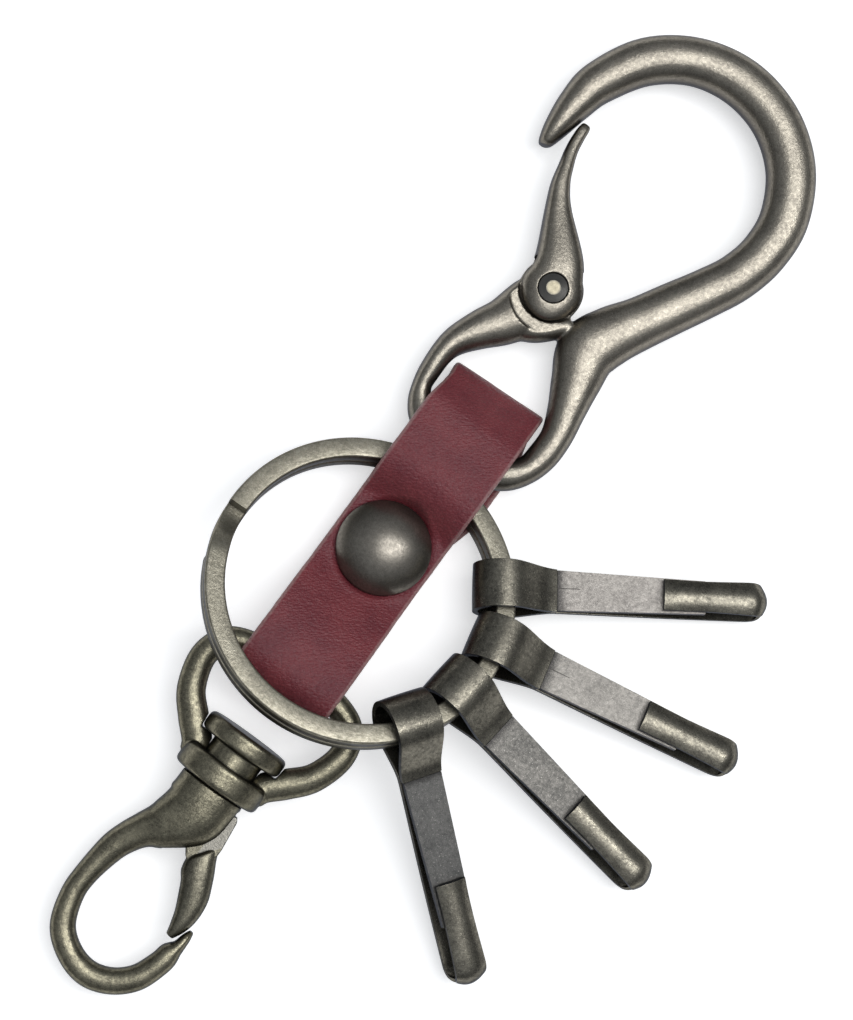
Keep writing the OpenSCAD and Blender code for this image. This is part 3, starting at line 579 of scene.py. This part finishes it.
# Strap: its sizes, and the places and radii of its bends
STRAP_W = 12.2
LEATHER_T = 1.5
FOLD_Y = 22.8
LAP_Y = 6.2
LAYER_GAP = 0.05
LEATHER_CLEAR = 0.3
HOOK_ROOM = 0.15
STRAP_BAR_D = 4.3
EYE_BAR_D = 2.9
CAP_R = 5.4
FOLD_R = 1.55
CREST_SHIFT = 1.3
CREST_R = 3.4
RING_CLEAR = 0.3
STEP_R = 1.0
STEP_AT = 0.84
DOME_R = 15.0
DOME_SLIP = 1.004
DOME_TURN = math.radians(3)
UNDER_R = 12.0
EDGE_SLOPE = math.radians(50)
STRAP_EDGE_R = 0.45

# The line is smoothed a little all over, and well where the leather dips under the cap
LINE_STEP = 0.3
BEND_STEPS = 40
SMOOTH_ROUNDS = 18
ROUNDS_ALL_OVER = 2
SMOOTH_SHARE = 0.25
DIP_Y = 12
DIP_FADE = 3
DIP_Z = 3


def strap_bends():
    """The strap's bends in turn: place of each bend's middle, and its signed radius."""
    hook_bar = joint_mm("hook_swing")
    ring = joint_mm("ring_swing")
    eye = joint_mm("eye_swing")
    pitch = LEATHER_T + LAYER_GAP
    top = 2 * pitch + LEATHER_T / 2
    loop_r = EYE_BAR_D / 2 + 2 * LEATHER_CLEAR + LEATHER_T / 2
    dome_off = (DOME_R - loop_r) * DOME_SLIP
    in_r = RING_MID_R - RING_WIRE_W / 2
    back = RING_WIRE_W / 2 + in_r - math.sqrt(in_r ** 2 - (STRAP_W / 2 + RING_X) ** 2)
    c, s = math.cos(RING_TILT), math.sin(RING_TILT)
    edge_y = ring[1] - back * c + RING_H / 2 * s
    edge_z = ring[2] + back * s + RING_H / 2 * c + RING_CLEAR
    reach = CREST_R - LEATHER_T / 2
    return [
        (FOLD_Y - LEATHER_T / 2 - FOLD_R, LEATHER_T / 2 + FOLD_R, FOLD_R),
        (hook_bar[1] + CREST_SHIFT, hook_bar[2], (STRAP_BAR_D + LEATHER_T) / 2 + LEATHER_CLEAR + HOOK_ROOM),
        (edge_y + reach * math.sin(EDGE_SLOPE), edge_z - reach * math.cos(EDGE_SLOPE), CREST_R),
        (STEP_AT * CAP_R, top + STEP_R, -STEP_R),
        (-STEP_AT * CAP_R, top + STEP_R, -STEP_R),
        (eye[1] - dome_off * math.sin(DOME_TURN), eye[2] - dome_off * math.cos(DOME_TURN), DOME_R),
        (eye[1], eye[2], loop_r),
        (-LAP_Y, LEATHER_T / 2 + pitch + UNDER_R, UNDER_R),
    ]


def strap_line():
    """Even stations along the middle of the leather: y, z and the way that its face looks."""
    bends = strap_bends()
    angles = [-90.0]
    for a, b in zip(bends, bends[1:]):
        dy, dz = b[0] - a[0], b[1] - a[1]
        angles.append(math.degrees(math.atan2(dz, dy) - math.acos((a[2] - b[2]) / math.hypot(dy, dz))))
    angles.append(-90.0)
    stops = [(-LAP_Y, LEATHER_T / 2)]
    for c, start, end in zip(bends, angles, angles[1:]):
        sweep = (end - start) % 360 if c[2] > 0 else -((start - end) % 360)
        for s in range(BEND_STEPS + 1):
            a = math.radians(start + sweep * s / BEND_STEPS)
            stops.append((c[0] + c[2] * math.cos(a), c[1] + c[2] * math.sin(a)))
    stops.append((LAP_Y, LEATHER_T / 2 + LEATHER_T + LAYER_GAP))
    stops = np.array(stops)
    along = np.concatenate([[0], np.cumsum(np.hypot(*np.diff(stops, axis=0).T))])
    places = np.linspace(0, along[-1], round(along[-1] / LINE_STEP))
    line = np.stack([np.interp(places, along, stops[:, k]) for k in (0, 1)], axis=1)
    near_cap = np.clip((DIP_Y - np.abs(line[:, 0])) / DIP_FADE, 0, 1)[1:-1, None] * (line[1:-1, 1:] > DIP_Z)
    for k in range(SMOOTH_ROUNDS):
        weight = SMOOTH_SHARE if k < ROUNDS_ALL_OVER else SMOOTH_SHARE * near_cap
        line[1:-1] += weight * (line[:-2] - 2 * line[1:-1] + line[2:])
    run = np.gradient(line, axis=0)
    run /= np.linalg.norm(run, axis=1)[:, None]
    return np.column_stack([line, run[:, 1], -run[:, 0]])


def strap_section(across=44, corner=4):
    """The leather's section: place across and off the middle, and how much of an edge it is."""
    edge = STRAP_EDGE_R
    half_w, half_t = STRAP_W / 2, LEATHER_T / 2
    out = []
    for side in (1, -1):
        for s in range(across + 1):
            u = side * (half_w - edge) * (1 - 2 * s / across)
            out.append((-u, side * half_t, 0.0))
        for s in range(1, 2 * corner):
            t = math.radians(90 - 180 * s / (2 * corner))
            u = half_w - edge + edge * math.cos(t)
            level = (s < corner) - (s > corner)
            v = (half_t - edge) * level + edge * math.sin(t)
            out.append((side * u, side * v, 1.0))
    return out


# How the leather gives, in millimetres where it isn't a share or a slope
WAVE = 0.06
RIPPLE = 0.02
TOP_FACE = 0.3
TOP_Z = 3.5
GIVE_Y = 14
GIVE_FADE = 4
GIVE_ROUND = 0.42
SKEW = 0.04
SKEW_FROM = 17.0
SKEW_FADE = 5.0
FLARE = 0.5
FLARE_Y = 20.5
FLARE_FADE = 4
BACK_SHIFT = 0.85
BACK_FROM = 5.0
BACK_TO = 20.0
BACK_FADE = 3.0
EDGE_RAGGED = 0.03
SEAT_DEPTH = 0.06
SEAT_SLOPE = 2.6
SEAT_BLEND = 0.1
SEAT_REACH = 1.5
SEAT_GAP = 0.02
SWELL = 0.1
SWELL_AT = 0.55
SWELL_WIDTH = 0.3
SWELL_EDGE = 6


def held(value):
    """A value held between 0 and 1."""
    return max(0.0, min(1.0, value))


def pressed(x, y, z, seat, inside):
    """The height of the top layer's face, pressed down round the cap and swollen next to it."""
    reach = math.hypot(x, y) - CAP_R
    limit = seat + SEAT_SLOPE * max(0.0, reach - SEAT_GAP)
    if z < limit + SEAT_REACH:
        z = -SEAT_BLEND * math.log(math.exp(-z / SEAT_BLEND) + math.exp(-limit / SEAT_BLEND))
    else:
        z = limit
    return z + SWELL * math.exp(-((reach - SWELL_AT) / SWELL_WIDTH) ** 2) * inside


def make_strap():
    """The folded strip, pressed down round the rivet and a little uneven."""
    line = strap_line()
    section = strap_section()
    top = line[line[:, 3] > TOP_FACE]
    top = top[np.argsort(top[:, 0])]
    seat = box_mm("rivet_cap")[0][2] - SEAT_DEPTH
    rings, edge = [], []
    for y, z, n_y, n_z in line:
        on_top = n_z > TOP_FACE and z > TOP_Z
        ring = []
        for u, off, rim in section:
            wave = noise.noise(Vector((u * 0.22, y * 0.2, z * 0.3 + off)))
            fine = noise.noise(Vector((u * 0.9 + 7, y * 0.8, z * 0.8)))
            lift = WAVE * wave + RIPPLE * fine
            rise = 0.0
            if on_top and abs(y) < GIVE_Y:
                round_y = math.copysign(math.hypot(y, GIVE_ROUND * u), y)
                rise = np.interp(round_y, top[:, 0], top[:, 1]) - np.interp(y, top[:, 0], top[:, 1])
                rise = max(0.0, rise) * min(1.0, (GIVE_Y - abs(y)) / GIVE_FADE)
            skew = SKEW * u * held((y - SKEW_FROM) / SKEW_FADE)
            px = u * (1 + 0.006 * noise.noise(Vector((3.0, y * 0.3, z))))
            px += FLARE * max(0.0, 1 - abs(y - FLARE_Y) / FLARE_FADE) * (u < 0) * (-u / (STRAP_W / 2))
            if z < LEATHER_T:
                px += BACK_SHIFT * held(min((y - BACK_FROM) / BACK_FADE, (BACK_TO - y) / BACK_FADE))
            px += rim * EDGE_RAGGED * noise.noise(Vector((u, y * 1.5, z * 1.5)))
            py = y + (off + lift) * n_y + skew
            pz = z + (off + lift) * n_z + rise
            if off > 0 and on_top:
                pz = pressed(px, py, pz, seat, abs(u) < SWELL_EDGE)
            ring.append((px, py, pz))
            edge.append(rim)
        rings.append(ring)
    strap = new_piece("strap_leather", *skin(rings), LEATHER)
    attribute = strap.data.attributes.new("edge", "FLOAT", "POINT")
    attribute.data.foreach_set("value", edge)
    dress(strap, "strap", "strap")


make_strap()


# Rivet cap, in millimetres
CAP_RIM_H = 0.5
CAP_BORE_R = 1.6
CAP_SIDES = 128
CAP_STEPS = 32

# The rolled rim: how far in from the edge and how far up from the foot
CAP_RIM = ((0.25, 0), (0.05, 0.08), (0, 0.3))


def make_rivet():
    """The cap: a spun dome with a rolled rim."""
    low, high = box_mm("rivet_cap")
    base, crown = low[2], high[2]
    dome = crown - base - CAP_RIM_H
    ball = (CAP_R ** 2 + dome ** 2) / (2 * dome)
    sweep = math.asin(CAP_R / ball)
    profile = [(CAP_BORE_R, base)] + [(CAP_R - inward, base + up) for inward, up in CAP_RIM]
    for s in range(CAP_STEPS + 1):
        a = sweep * (1 - s / CAP_STEPS)
        profile.append((ball * math.sin(a), crown - ball + ball * math.cos(a)))
    cap = new_piece("rivet_dome", *lathe(profile, CAP_SIDES), METALS["cap"])
    dress(cap, "strap", "rivet_cap")


make_rivet()


# Hook, in millimetres, and its bars' rows in shares of these sizes
HOOK_W = 32.6
HOOK_REACH = 56.6
HOOK_BAR_D = 5.7
BOSS_D = 7.5
BOSS_H = 6.2
TONGUE_T = 2.8
RECESS_D = 3.5
RECESS_T = 0.6
SEAT_ROOM = 0.6
SEAT_SHIFT = -0.9
SEAT_OVER = 1.2
HOOK_FIT = 0.06
LEVER_DOME = 0.012
LEVER_SIDES = 64
LEVER_FULL = 0.72
LEVER_END_FULL = 0.3
LEVER_END = (89, 86, 82, 77, 70, 62, 53, 43, 32, 21, 10)

hook_bow_share = [
    [-0.379, 0.601, 0.09, 0.18], [-0.382, 0.611, 0.16, 0.30], [-0.382, 0.650, 0.265, 0.41],
    [-0.376, 0.712, 0.37, 0.46], [-0.354, 0.775, 0.44, 0.49], [-0.265, 0.866, 0.485, 0.50],
    [-0.120, 0.928, 0.49, 0.50], [0.055, 0.949, 0.505, 0.50], [0.229, 0.926, 0.505, 0.50],
    [0.370, 0.864, 0.505, 0.50], [0.454, 0.774, 0.50, 0.50], [0.467, 0.691, 0.49, 0.50],
    [0.439, 0.618, 0.49, 0.50], [0.386, 0.555, 0.50, 0.50], [0.322, 0.489, 0.52, 0.50],
    [0.258, 0.422, 0.54, 0.51], [0.202, 0.366, 0.60, 0.52], [0.170, 0.313, 0.63, 0.52],
    [0.199, 0.251, 0.51, 0.48], [0.232, 0.191, 0.39, 0.43], [0.2565, 0.138, 0.325, 0.40],
    [0.2575, 0.088, 0.315, 0.38], [0.2395, 0.045, 0.285, 0.37], [0.190, 0.0135, 0.33, 0.376],
    [0.120, 0.001, 0.372, 0.377], [0.012, 0.000, 0.377, 0.377], [-0.095, 0.004, 0.37, 0.376],
    [-0.158, 0.016, 0.33, 0.35], [-0.200, 0.034, 0.255, 0.31], [-0.225, 0.058, 0.20, 0.32],
    [-0.234, 0.090, 0.22, 0.36], [-0.236, 0.138, 0.245, 0.39], [-0.2205, 0.176, 0.305, 0.41],
    [-0.176, 0.222, 0.40, 0.43],
    [-0.130, 0.261, 0.48, 0.46], [-0.090, 0.309, 0.58, 0.50], [-0.075, 0.330, 0.58, 0.50],
]
hook_neck_share = [[-0.07, 0.318, 0.29, 0.33], [0.049, 0.323, 0.20, 0.30], [0.16, 0.318, 0.27, 0.30]]
hook_web_share = [
    [-0.125, 0.249, 0.17, 0.30], [-0.031, 0.284, 0.27, 0.36], [0.040, 0.318, 0.23, 0.34],
    [0.07, 0.335, 0.2, 0.29],
]
hook_lever_share = [
    [-0.058, 0.3675, 0.655, 0.53], [-0.0966, 0.4258, 0.505, 0.51], [-0.2025, 0.5088, 0.275, 0.385],
    [-0.250, 0.5548, 0.20, 0.33], [-0.2735, 0.5928, 0.155, 0.28], [-0.291, 0.6272, 0.135, 0.235],
    [-0.2985, 0.659, 0.125, 0.20], [-0.2995, 0.6767, 0.115, 0.17], [-0.2995, 0.687, 0.09, 0.12],
]


def share_rows(shares, width, reach, start, thickness):
    """Rows of place, half width and half height, from shares of a piece's main sizes."""
    size = np.array([width, reach, thickness, thickness])
    return np.array(shares) * size + np.array([0, start, 0, 0])


def at(shape, place):
    """A shape moved to a place, in millimetres."""
    return moved(shape, Matrix.Identity(3), place)


def cylinder(radius, height, sides=64):
    """Centred on the origin along Z."""
    return lathe([(0, -height / 2), (radius, -height / 2), (radius, height / 2), (0, height / 2)], sides)


def both_sides(shape, pivot, shift, height):
    """The same shape above and below the pivot."""
    return [at(shape, pivot + np.array([0, shift, side * height])) for side in (-1, 1)]


def hook_rows(shares):
    """Smooth rows of the hook's bars, from their shares."""
    return smooth(share_rows(shares, HOOK_W, HOOK_REACH, joint_mm("hook_swing")[1], HOOK_BAR_D), ROW_STEPS)


def make_hook_body():
    """The bow, its neck and web, and the tongue between the lever's cheeks."""
    pivot = joint_mm("lever_pivot")
    lift = (0, 0, joint_mm("hook_swing")[2])
    bars = [bar(hook_rows(shares)) for shares in (hook_bow_share, hook_neck_share, hook_web_share)]
    solids = [at(shape, lift) for shape in bars] + [at(cylinder(BOSS_D / 2 - HOOK_FIT, TONGUE_T), pivot)]
    cheeks = cylinder(BOSS_D / 2 + HOOK_FIT, HOOK_BAR_D)
    cuts = both_sides(cheeks, pivot, 0, (TONGUE_T + HOOK_BAR_D) / 2)
    seat = cylinder(BOSS_D / 2 + SEAT_ROOM, HOOK_BAR_D)
    cuts += both_sides(seat, pivot, SEAT_SHIFT, BOSS_H / 2 - SEAT_OVER + HOOK_BAR_D / 2)
    hook = cast("hook_casting", METALS["cast"], solids, cuts, voxel=0.15, rounds=6)
    dress(hook, "hook", "hook_body")


def make_lever():
    """The lever: a tear drop round its boss, slotted for the tongue and recessed for the pin."""
    pivot = joint_mm("lever_pivot")
    lift = (0, 0, joint_mm("hook_swing")[2])
    r, half = BOSS_D / 2, BOSS_H / 2
    rows = hook_rows(hook_lever_share)
    run = (rows[1] - rows[0])[:2]
    run /= np.linalg.norm(run)
    away = ((rows[:, :2] - pivot[:2]) ** 2).sum(axis=1)
    rows[:, 2] = np.maximum(rows[:, 2], np.sqrt(np.maximum(0, r ** 2 - away)))
    rows[:, 3] = np.maximum(rows[:, 3], half * (1 - LEVER_DOME * away))
    end = []
    for a in np.radians(LEVER_END):
        x, y = pivot[:2] - r * math.sin(a) * run
        end.append((x, y, r * math.cos(a), half * math.cos(a) ** LEVER_END_FULL))
    drop = at(bar(np.vstack([end, rows]), LEVER_SIDES, LEVER_FULL), lift)
    slot = at(cylinder(BOSS_D / 2 + SEAT_ROOM, TONGUE_T + 2 * HOOK_FIT), pivot)
    recesses = both_sides(cylinder(RECESS_D / 2, 2 * RECESS_T), pivot, 0, BOSS_H / 2)
    cuts = [slot] + recesses
    lever = cast("hook_lever_casting", METALS["cast"], [drop], cuts, voxel=0.1, rounds=6)
    dress(lever, "lever", "hook_lever")


make_hook_body()
make_lever()


def make_ring():
    """Two turns of flat wire, with the step where one climbs onto the other."""
    through = joint_mm("ring_swing")
    c, s = math.cos(RING_TILT), math.sin(RING_TILT)
    centre = Vector((RING_X, through[1] - RING_MID_R * c, through[2] + RING_MID_R * s))
    a, b, edge = RING_WIRE_W / 2, RING_WIRE_T / 2, RING_EDGE_R
    section = []
    for quarter, (sx, sy) in enumerate(((1, 1), (-1, 1), (-1, -1), (1, -1))):
        for k in range(5):
            t = math.radians(90 * (quarter + k / 4))
            section.append((sx * (a - edge) + edge * math.cos(t), sy * (b - edge) + edge * math.sin(t)))
    rings = []
    for t in np.arange(0, RING_END + 0.1, RING_STEP):
        share = held((t - CLIMB_FROM) / (CLIMB_TO - CLIMB_FROM))
        z = ((1 - math.cos(math.pi * share)) / 2 - 0.5) * (RING_WIRE_T + RING_GAP)
        w = math.radians(RING_START + t)
        out = [(RING_MID_R + u, v + z) for u, v in section]
        rings.append([(r * math.cos(w), r * math.sin(w), height) for r, height in out])
    shape = moved(skin(rings), Matrix.Rotation(-RING_TILT, 3, "X"), centre)
    ring = new_piece("split_ring_wire", *shape, METALS["ring"], 40)
    dress(ring, "ring", "split_ring")


make_ring()


# Key clips
STRIP_BEVEL = 0.07
LEAF_BEVEL = 0.06
BEVEL_ANGLE = math.radians(50)
QUAD_FACE_ANGLE = math.radians(25)
QUAD_SHAPE_ANGLE = math.radians(40)


def quads_of(node, name, material):
    """A new piece with a CAD node's mesh, its triangles joined back into quads."""
    work = bmesh.new()
    work.from_mesh(nodes[node].data)
    bmesh.ops.remove_doubles(work, verts=work.verts, dist=0.001 * MM)
    bmesh.ops.join_triangles(work, faces=work.faces, angle_face_threshold=QUAD_FACE_ANGLE,
                             angle_shape_threshold=QUAD_SHAPE_ANGLE)
    mesh = bpy.data.meshes.new(name)
    work.to_mesh(mesh)
    work.free()
    mesh.materials.append(material)
    mesh.shade_smooth()
    piece = bpy.data.objects.new(name, mesh)
    bpy.context.scene.collection.objects.link(piece)
    return piece


def make_clips():
    """The four strips as smooth sheet, and their leaves as the CAD has them, with softer edges."""
    for i in range(1, 5):
        clip = quads_of(f"clip_{i}", f"clip_{i}_strip", METALS["strip"])
        bevel = clip.modifiers.new("bevel", "BEVEL")
        bevel.width = STRIP_BEVEL * MM
        bevel.segments = 2
        bevel.limit_method = "ANGLE"
        bevel.angle_limit = BEVEL_ANGLE
        round_off = clip.modifiers.new("subdivide", "SUBSURF")
        round_off.levels = 2
        round_off.render_levels = 2
        dress(clip, f"clip_{i}", f"clip_{i}")
        leaf = nodes[f"clip_{i}_gate"]
        leaf.data.materials.clear()
        leaf.data.materials.append(LEAVES[i])
        bevel = leaf.modifiers.new("bevel", "BEVEL")
        bevel.width = LEAF_BEVEL * MM
        bevel.segments = 2


make_clips()


# Swivel and snap, in millimetres, and their bars' rows in shares of these sizes
EYE_W = 21.5
EYE_REACH = 14.0
COLLAR_D = 10.7
COLLAR_H = 2.9
STEM_D = 6.4
HEAD_D = 10.2
HEAD_T = 2.2
HEAD_PLAY = 1.8
HEAD_CUT_OVER = 1.1
HEAD_CUT_SHIFT = 0.5
STEM_SINK = 1
SNAP_W = 15.2
SNAP_REACH = 26.3
SNAP_BAR_D = 2.9
ROOT_T = 1.8
SNAP_DISC_EDGE = 0.6
STEM_ROOM = 0.05
HEAD_ROOM = 0.1
ROOT_ROOM = 0.12
GATE_SLANT = 0.67
GATE_SLANT_REACH = 3.5

# The gate's bare root: its outer part, above a slanting line; left of BARE_FROM it stays dark as painted
# shadow under the body's lobe
BARE_FROM = 0.19
BARE_LINE = 0.315
BARE_SLOPE = 0.735
BARE_MIDDLE = 0.141
BARE_NEAR = 0.05

snap_axis = Vector(joints["snap_swivel"]["axis"])
SNAP_TILT = Matrix.Rotation(math.atan2(snap_axis.z, snap_axis.y), 3, "X")

eye_share = [
    [0.19, 0.02, 0.54], [0.215, 0.12, 0.59], [0.298, 0.25, 0.60], [0.393, 0.42, 0.56],
    [0.442, 0.68, 0.53], [0.397, 0.885, 0.51], [0.285, 0.976, 0.5], [0.14, 0.998, 0.5],
]
snap_share = [
    [0.003, 0.006, 1.36, 1.22], [0.002, 0.072, 1.36, 1.21], [-0.02, 0.152, 1.33, 1.16],
    [-0.125, 0.250, 0.98, 1.00], [-0.222, 0.318, 0.70, 0.80], [-0.290, 0.387, 0.61, 0.68],
    [-0.337, 0.464, 0.56, 0.62], [-0.373, 0.605, 0.475, 0.56], [-0.368, 0.715, 0.47, 0.55],
    [-0.289, 0.842, 0.50, 0.55], [-0.131, 0.916, 0.51, 0.55], [0.053, 0.943, 0.53, 0.55],
    [0.230, 0.912, 0.52, 0.55], [0.368, 0.838, 0.51, 0.55], [0.440, 0.735, 0.48, 0.55],
    [0.456, 0.680, 0.45, 0.54], [0.469, 0.652, 0.36, 0.52], [0.481, 0.628, 0.26, 0.49],
    [0.490, 0.580, 0.19, 0.42], [0.497, 0.546, 0.09, 0.25],
]
snap_gate_share = [
    [0.226, 0.263, 0.57, 0.48], [0.257, 0.312, 0.61, 0.55], [0.306, 0.361, 0.61, 0.56],
    [0.3586, 0.428, 0.595, 0.54], [0.389, 0.500, 0.485, 0.50], [0.392, 0.563, 0.34, 0.43],
    [0.380, 0.615, 0.16, 0.27],
]
root_share = [
    [-0.086, 0.098], [-0.007, 0.049], [0.276, 0.049], [0.296, 0.068], [0.322, 0.194],
    [0.322, 0.228], [0.276, 0.297], [0.184, 0.327], [0.128, 0.300], [0.020, 0.213], [-0.086, 0.141],
]
slot_share = [
    [-0.118, 0.030], [0.600, 0.030], [0.600, 0.500], [-0.026, 0.377], [-0.049, 0.293],
    [-0.092, 0.198], [-0.118, 0.129],
]


def plate(shares, thickness):
    """A flat plate from its outline, in shares of the snap's width and reach."""
    outline = [(s[0] * SNAP_W, -COLLAR_H / 2 - s[1] * SNAP_REACH) for s in shares]
    if sum(a[0] * b[1] - b[0] * a[1] for a, b in zip(outline, outline[1:] + outline[:1])) < 0:
        outline.reverse()
    return skin([[(x, y, z) for x, y in outline] for z in (-thickness / 2, thickness / 2)])


def snap_place(shape):
    """A shape from the snap's own frame, about its collar, in its tilted place."""
    return moved(shape, SNAP_TILT, joint_mm("snap_swivel"))


def turned(shape, y):
    """A turned shape, set with its axis along the snap's and its middle at y."""
    return snap_place(moved(shape, Matrix.Rotation(math.radians(90), 3, "X"), (0, y, 0)))


def snap_rows(shares):
    """Smooth rows of the snap's bars, from their shares."""
    return smooth(share_rows(shares, SNAP_W, -SNAP_REACH, -COLLAR_H / 2, SNAP_BAR_D), ROW_STEPS)


def make_swivel():
    """The eye and its collar, bored for the snap's stem."""
    rows = [[s[0] * EYE_W, s[1] * EYE_REACH, s[2] * EYE_BAR_D, EYE_BAR_D / 2] for s in eye_share]
    rows += [[0, EYE_REACH, EYE_BAR_D / 2, EYE_BAR_D / 2]] + [[-r[0]] + r[1:] for r in reversed(rows)]
    eye = [
        snap_place(bar(smooth(rows, ROW_STEPS), full=1.0)),
        turned(disc(COLLAR_D / 2, COLLAR_H, SNAP_DISC_EDGE), 0),
    ]
    cuts = [
        turned(cylinder(STEM_D / 2 + STEM_ROOM, 2 * (COLLAR_H + HEAD_PLAY)), 0),
        turned(cylinder(HEAD_D / 2 + HEAD_ROOM, HEAD_T + HEAD_CUT_OVER),
               COLLAR_H / 2 + HEAD_PLAY + HEAD_T / 2 + HEAD_CUT_SHIFT),
    ]
    swivel = cast("swivel_eye_casting", METALS["snap"], eye, cuts, voxel=0.11, rounds=5)
    dress(swivel, "eye", "swivel_eye")


def make_snap():
    """The snap's hook with its stem and head, slotted for the gate's root."""
    stem = COLLAR_H + HEAD_PLAY + HEAD_T / 2 + STEM_SINK
    body = [
        snap_place(bar(snap_rows(snap_share))),
        turned(cylinder(STEM_D / 2, stem), (HEAD_PLAY + HEAD_T / 2) / 2),
        turned(disc(HEAD_D / 2, HEAD_T, SNAP_DISC_EDGE), COLLAR_H / 2 + HEAD_PLAY + HEAD_T / 2),
    ]
    slot = snap_place(plate(slot_share, ROOT_T + ROOT_ROOM))
    snap = cast("snap_casting", METALS["snap"], body, [slot], voxel=0.11, rounds=5)
    dress(snap, "snap", "snap_body")


def make_gate():
    """The gate with its flat root, whose bare faces are marked for the paint."""
    rows = snap_rows(snap_gate_share)
    parts = [snap_place(aslant(rows, GATE_SLANT, GATE_SLANT_REACH)), snap_place(plate(root_share, ROOT_T))]
    gate = cast("snap_gate_casting", METALS["gate"], parts, [], voxel=0.09, rounds=3)
    back = SNAP_TILT.inverted()
    collar = Vector(joint_mm("snap_swivel"))
    flat = []
    for v in gate.data.vertices:
        x, y, z = back @ (v.co / MM - collar)
        below = (-y - COLLAR_H / 2) / SNAP_REACH - BARE_LINE + BARE_SLOPE * (x / SNAP_W - BARE_MIDDLE)
        # Left of BARE_FROM the root is not marked, so it stays dark: painted shadow under the body's lobe
        flat.append(1.0 if abs(z) < ROOT_T / 2 + BARE_NEAR and below < 0 and x > BARE_FROM * SNAP_W else 0.0)
    marks = gate.data.attributes.new("flat", "FLOAT", "POINT")
    marks.data.foreach_set("value", flat)
    dress(gate, "gate", "snap_gate")


make_swivel()
make_snap()
make_gate()


# The small CAD nodes that keep their own shape
def paint_nodes():
    """Gives each its metal."""
    for name, metal in (("rivet_post", "cast"), ("hook_pivot_pin", "pin"), ("hook_spring", "wire"),
                        ("snap_pin", "snap"), ("snap_spring", "wire")):
        node = nodes[name]
        node.data.materials.clear()
        node.data.materials.append(METALS[metal])


paint_nodes()


def make_snap_spring():
    """The CAD's own coil, as a piece of its own on the snap's body."""
    coil = bpy.data.objects.new("snap_spring_coil", nodes["snap_spring"].data.copy())
    bpy.context.scene.collection.objects.link(coil)
    dress(coil, "snap", "snap_spring")
    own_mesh(coil)


make_snap_spring()


# Studio: places in metres, and strengths where 1 is white
FLOOR_HALF = 6.0
FLOOR_COLOUR = rgb(0.86, 0.86, 0.86)
FLOOR_GLOW = 0.5
SKY_COLOUR = rgb(0.88, 0.93, 1.0)
SKY_HEIGHTS = (0.2, 0.95)
SKY_STRENGTHS = (0.13, 0.52)
LAMP_AWAY = 1.6
OVERHEAD_SIZE = 1.05
OVERHEAD_RADIANCE = 3.7
SIDE_SIZE = 0.3
SIDE_RADIANCE = 10.0


def make_floor():
    """A pale floor, whitened for the camera and for reflections, that keeps the shadow."""
    mesh = bpy.data.meshes.new("floor")
    corners = [(x * FLOOR_HALF, y * FLOOR_HALF, 0) for x, y in ((-1, -1), (1, -1), (1, 1), (-1, 1))]
    mesh.from_pydata(corners, [], [(0, 1, 2, 3)])
    floor = bpy.data.objects.new("floor", mesh)
    bpy.context.scene.collection.objects.link(floor)
    p = Paint("pale_floor")
    p.set("Base Color", FLOOR_COLOUR)
    p.set("Roughness", 0.9)
    p.set("Specular IOR Level", 0.1)
    path = p.node("ShaderNodeLightPath")
    seen = p.math("MAXIMUM", path.outputs["Is Camera Ray"],
                  p.math("MAXIMUM", path.outputs["Is Glossy Ray"], path.outputs["Is Transmission Ray"]))
    p.set("Emission Color", rgb(1, 1, 1))
    p.set("Emission Strength", p.math("MULTIPLY", seen, FLOOR_GLOW))
    mesh.materials.append(p.material)


def make_world():
    """A dim room, lighter overhead than at the horizon."""
    world = bpy.data.worlds.new("studio")
    bpy.context.scene.world = world
    world.use_nodes = True
    tree = world.node_tree
    ways = tree.nodes.new("ShaderNodeTexCoord")
    split = tree.nodes.new("ShaderNodeSeparateXYZ")
    span = tree.nodes.new("ShaderNodeMapRange")
    tree.links.new(ways.outputs["Generated"], split.inputs[0])
    tree.links.new(split.outputs["Z"], span.inputs["Value"])
    span.inputs["From Min"].default_value = SKY_HEIGHTS[0]
    span.inputs["From Max"].default_value = SKY_HEIGHTS[1]
    span.inputs["To Min"].default_value = SKY_STRENGTHS[0]
    span.inputs["To Max"].default_value = SKY_STRENGTHS[1]
    tree.links.new(span.outputs[0], tree.nodes["Background"].inputs["Strength"])
    tree.nodes["Background"].inputs["Color"].default_value = SKY_COLOUR


def make_lamp(name, direction, size, radiance):
    """A square softbox that looks at the object from a direction."""
    data = bpy.data.lights.new(name, "AREA")
    data.shape = "SQUARE"
    data.size = size
    data.energy = radiance * math.pi * size * size
    lamp = bpy.data.objects.new(name, data)
    bpy.context.scene.collection.objects.link(lamp)
    place = LOOK_AT + direction.normalized() * LAMP_AWAY
    aim(lamp, place, LOOK_AT, photo_up)
    lamp.visible_camera = False


make_floor()
make_world()
up = Vector((0, 0, 1))
make_lamp("overhead", up + 0.22 * photo_right + 0.02 * photo_up, OVERHEAD_SIZE, OVERHEAD_RADIANCE)
make_lamp("side", up + 0.7 * photo_right, SIDE_SIZE, SIDE_RADIANCE)
bpy.context.scene.view_settings.view_transform = "Standard"
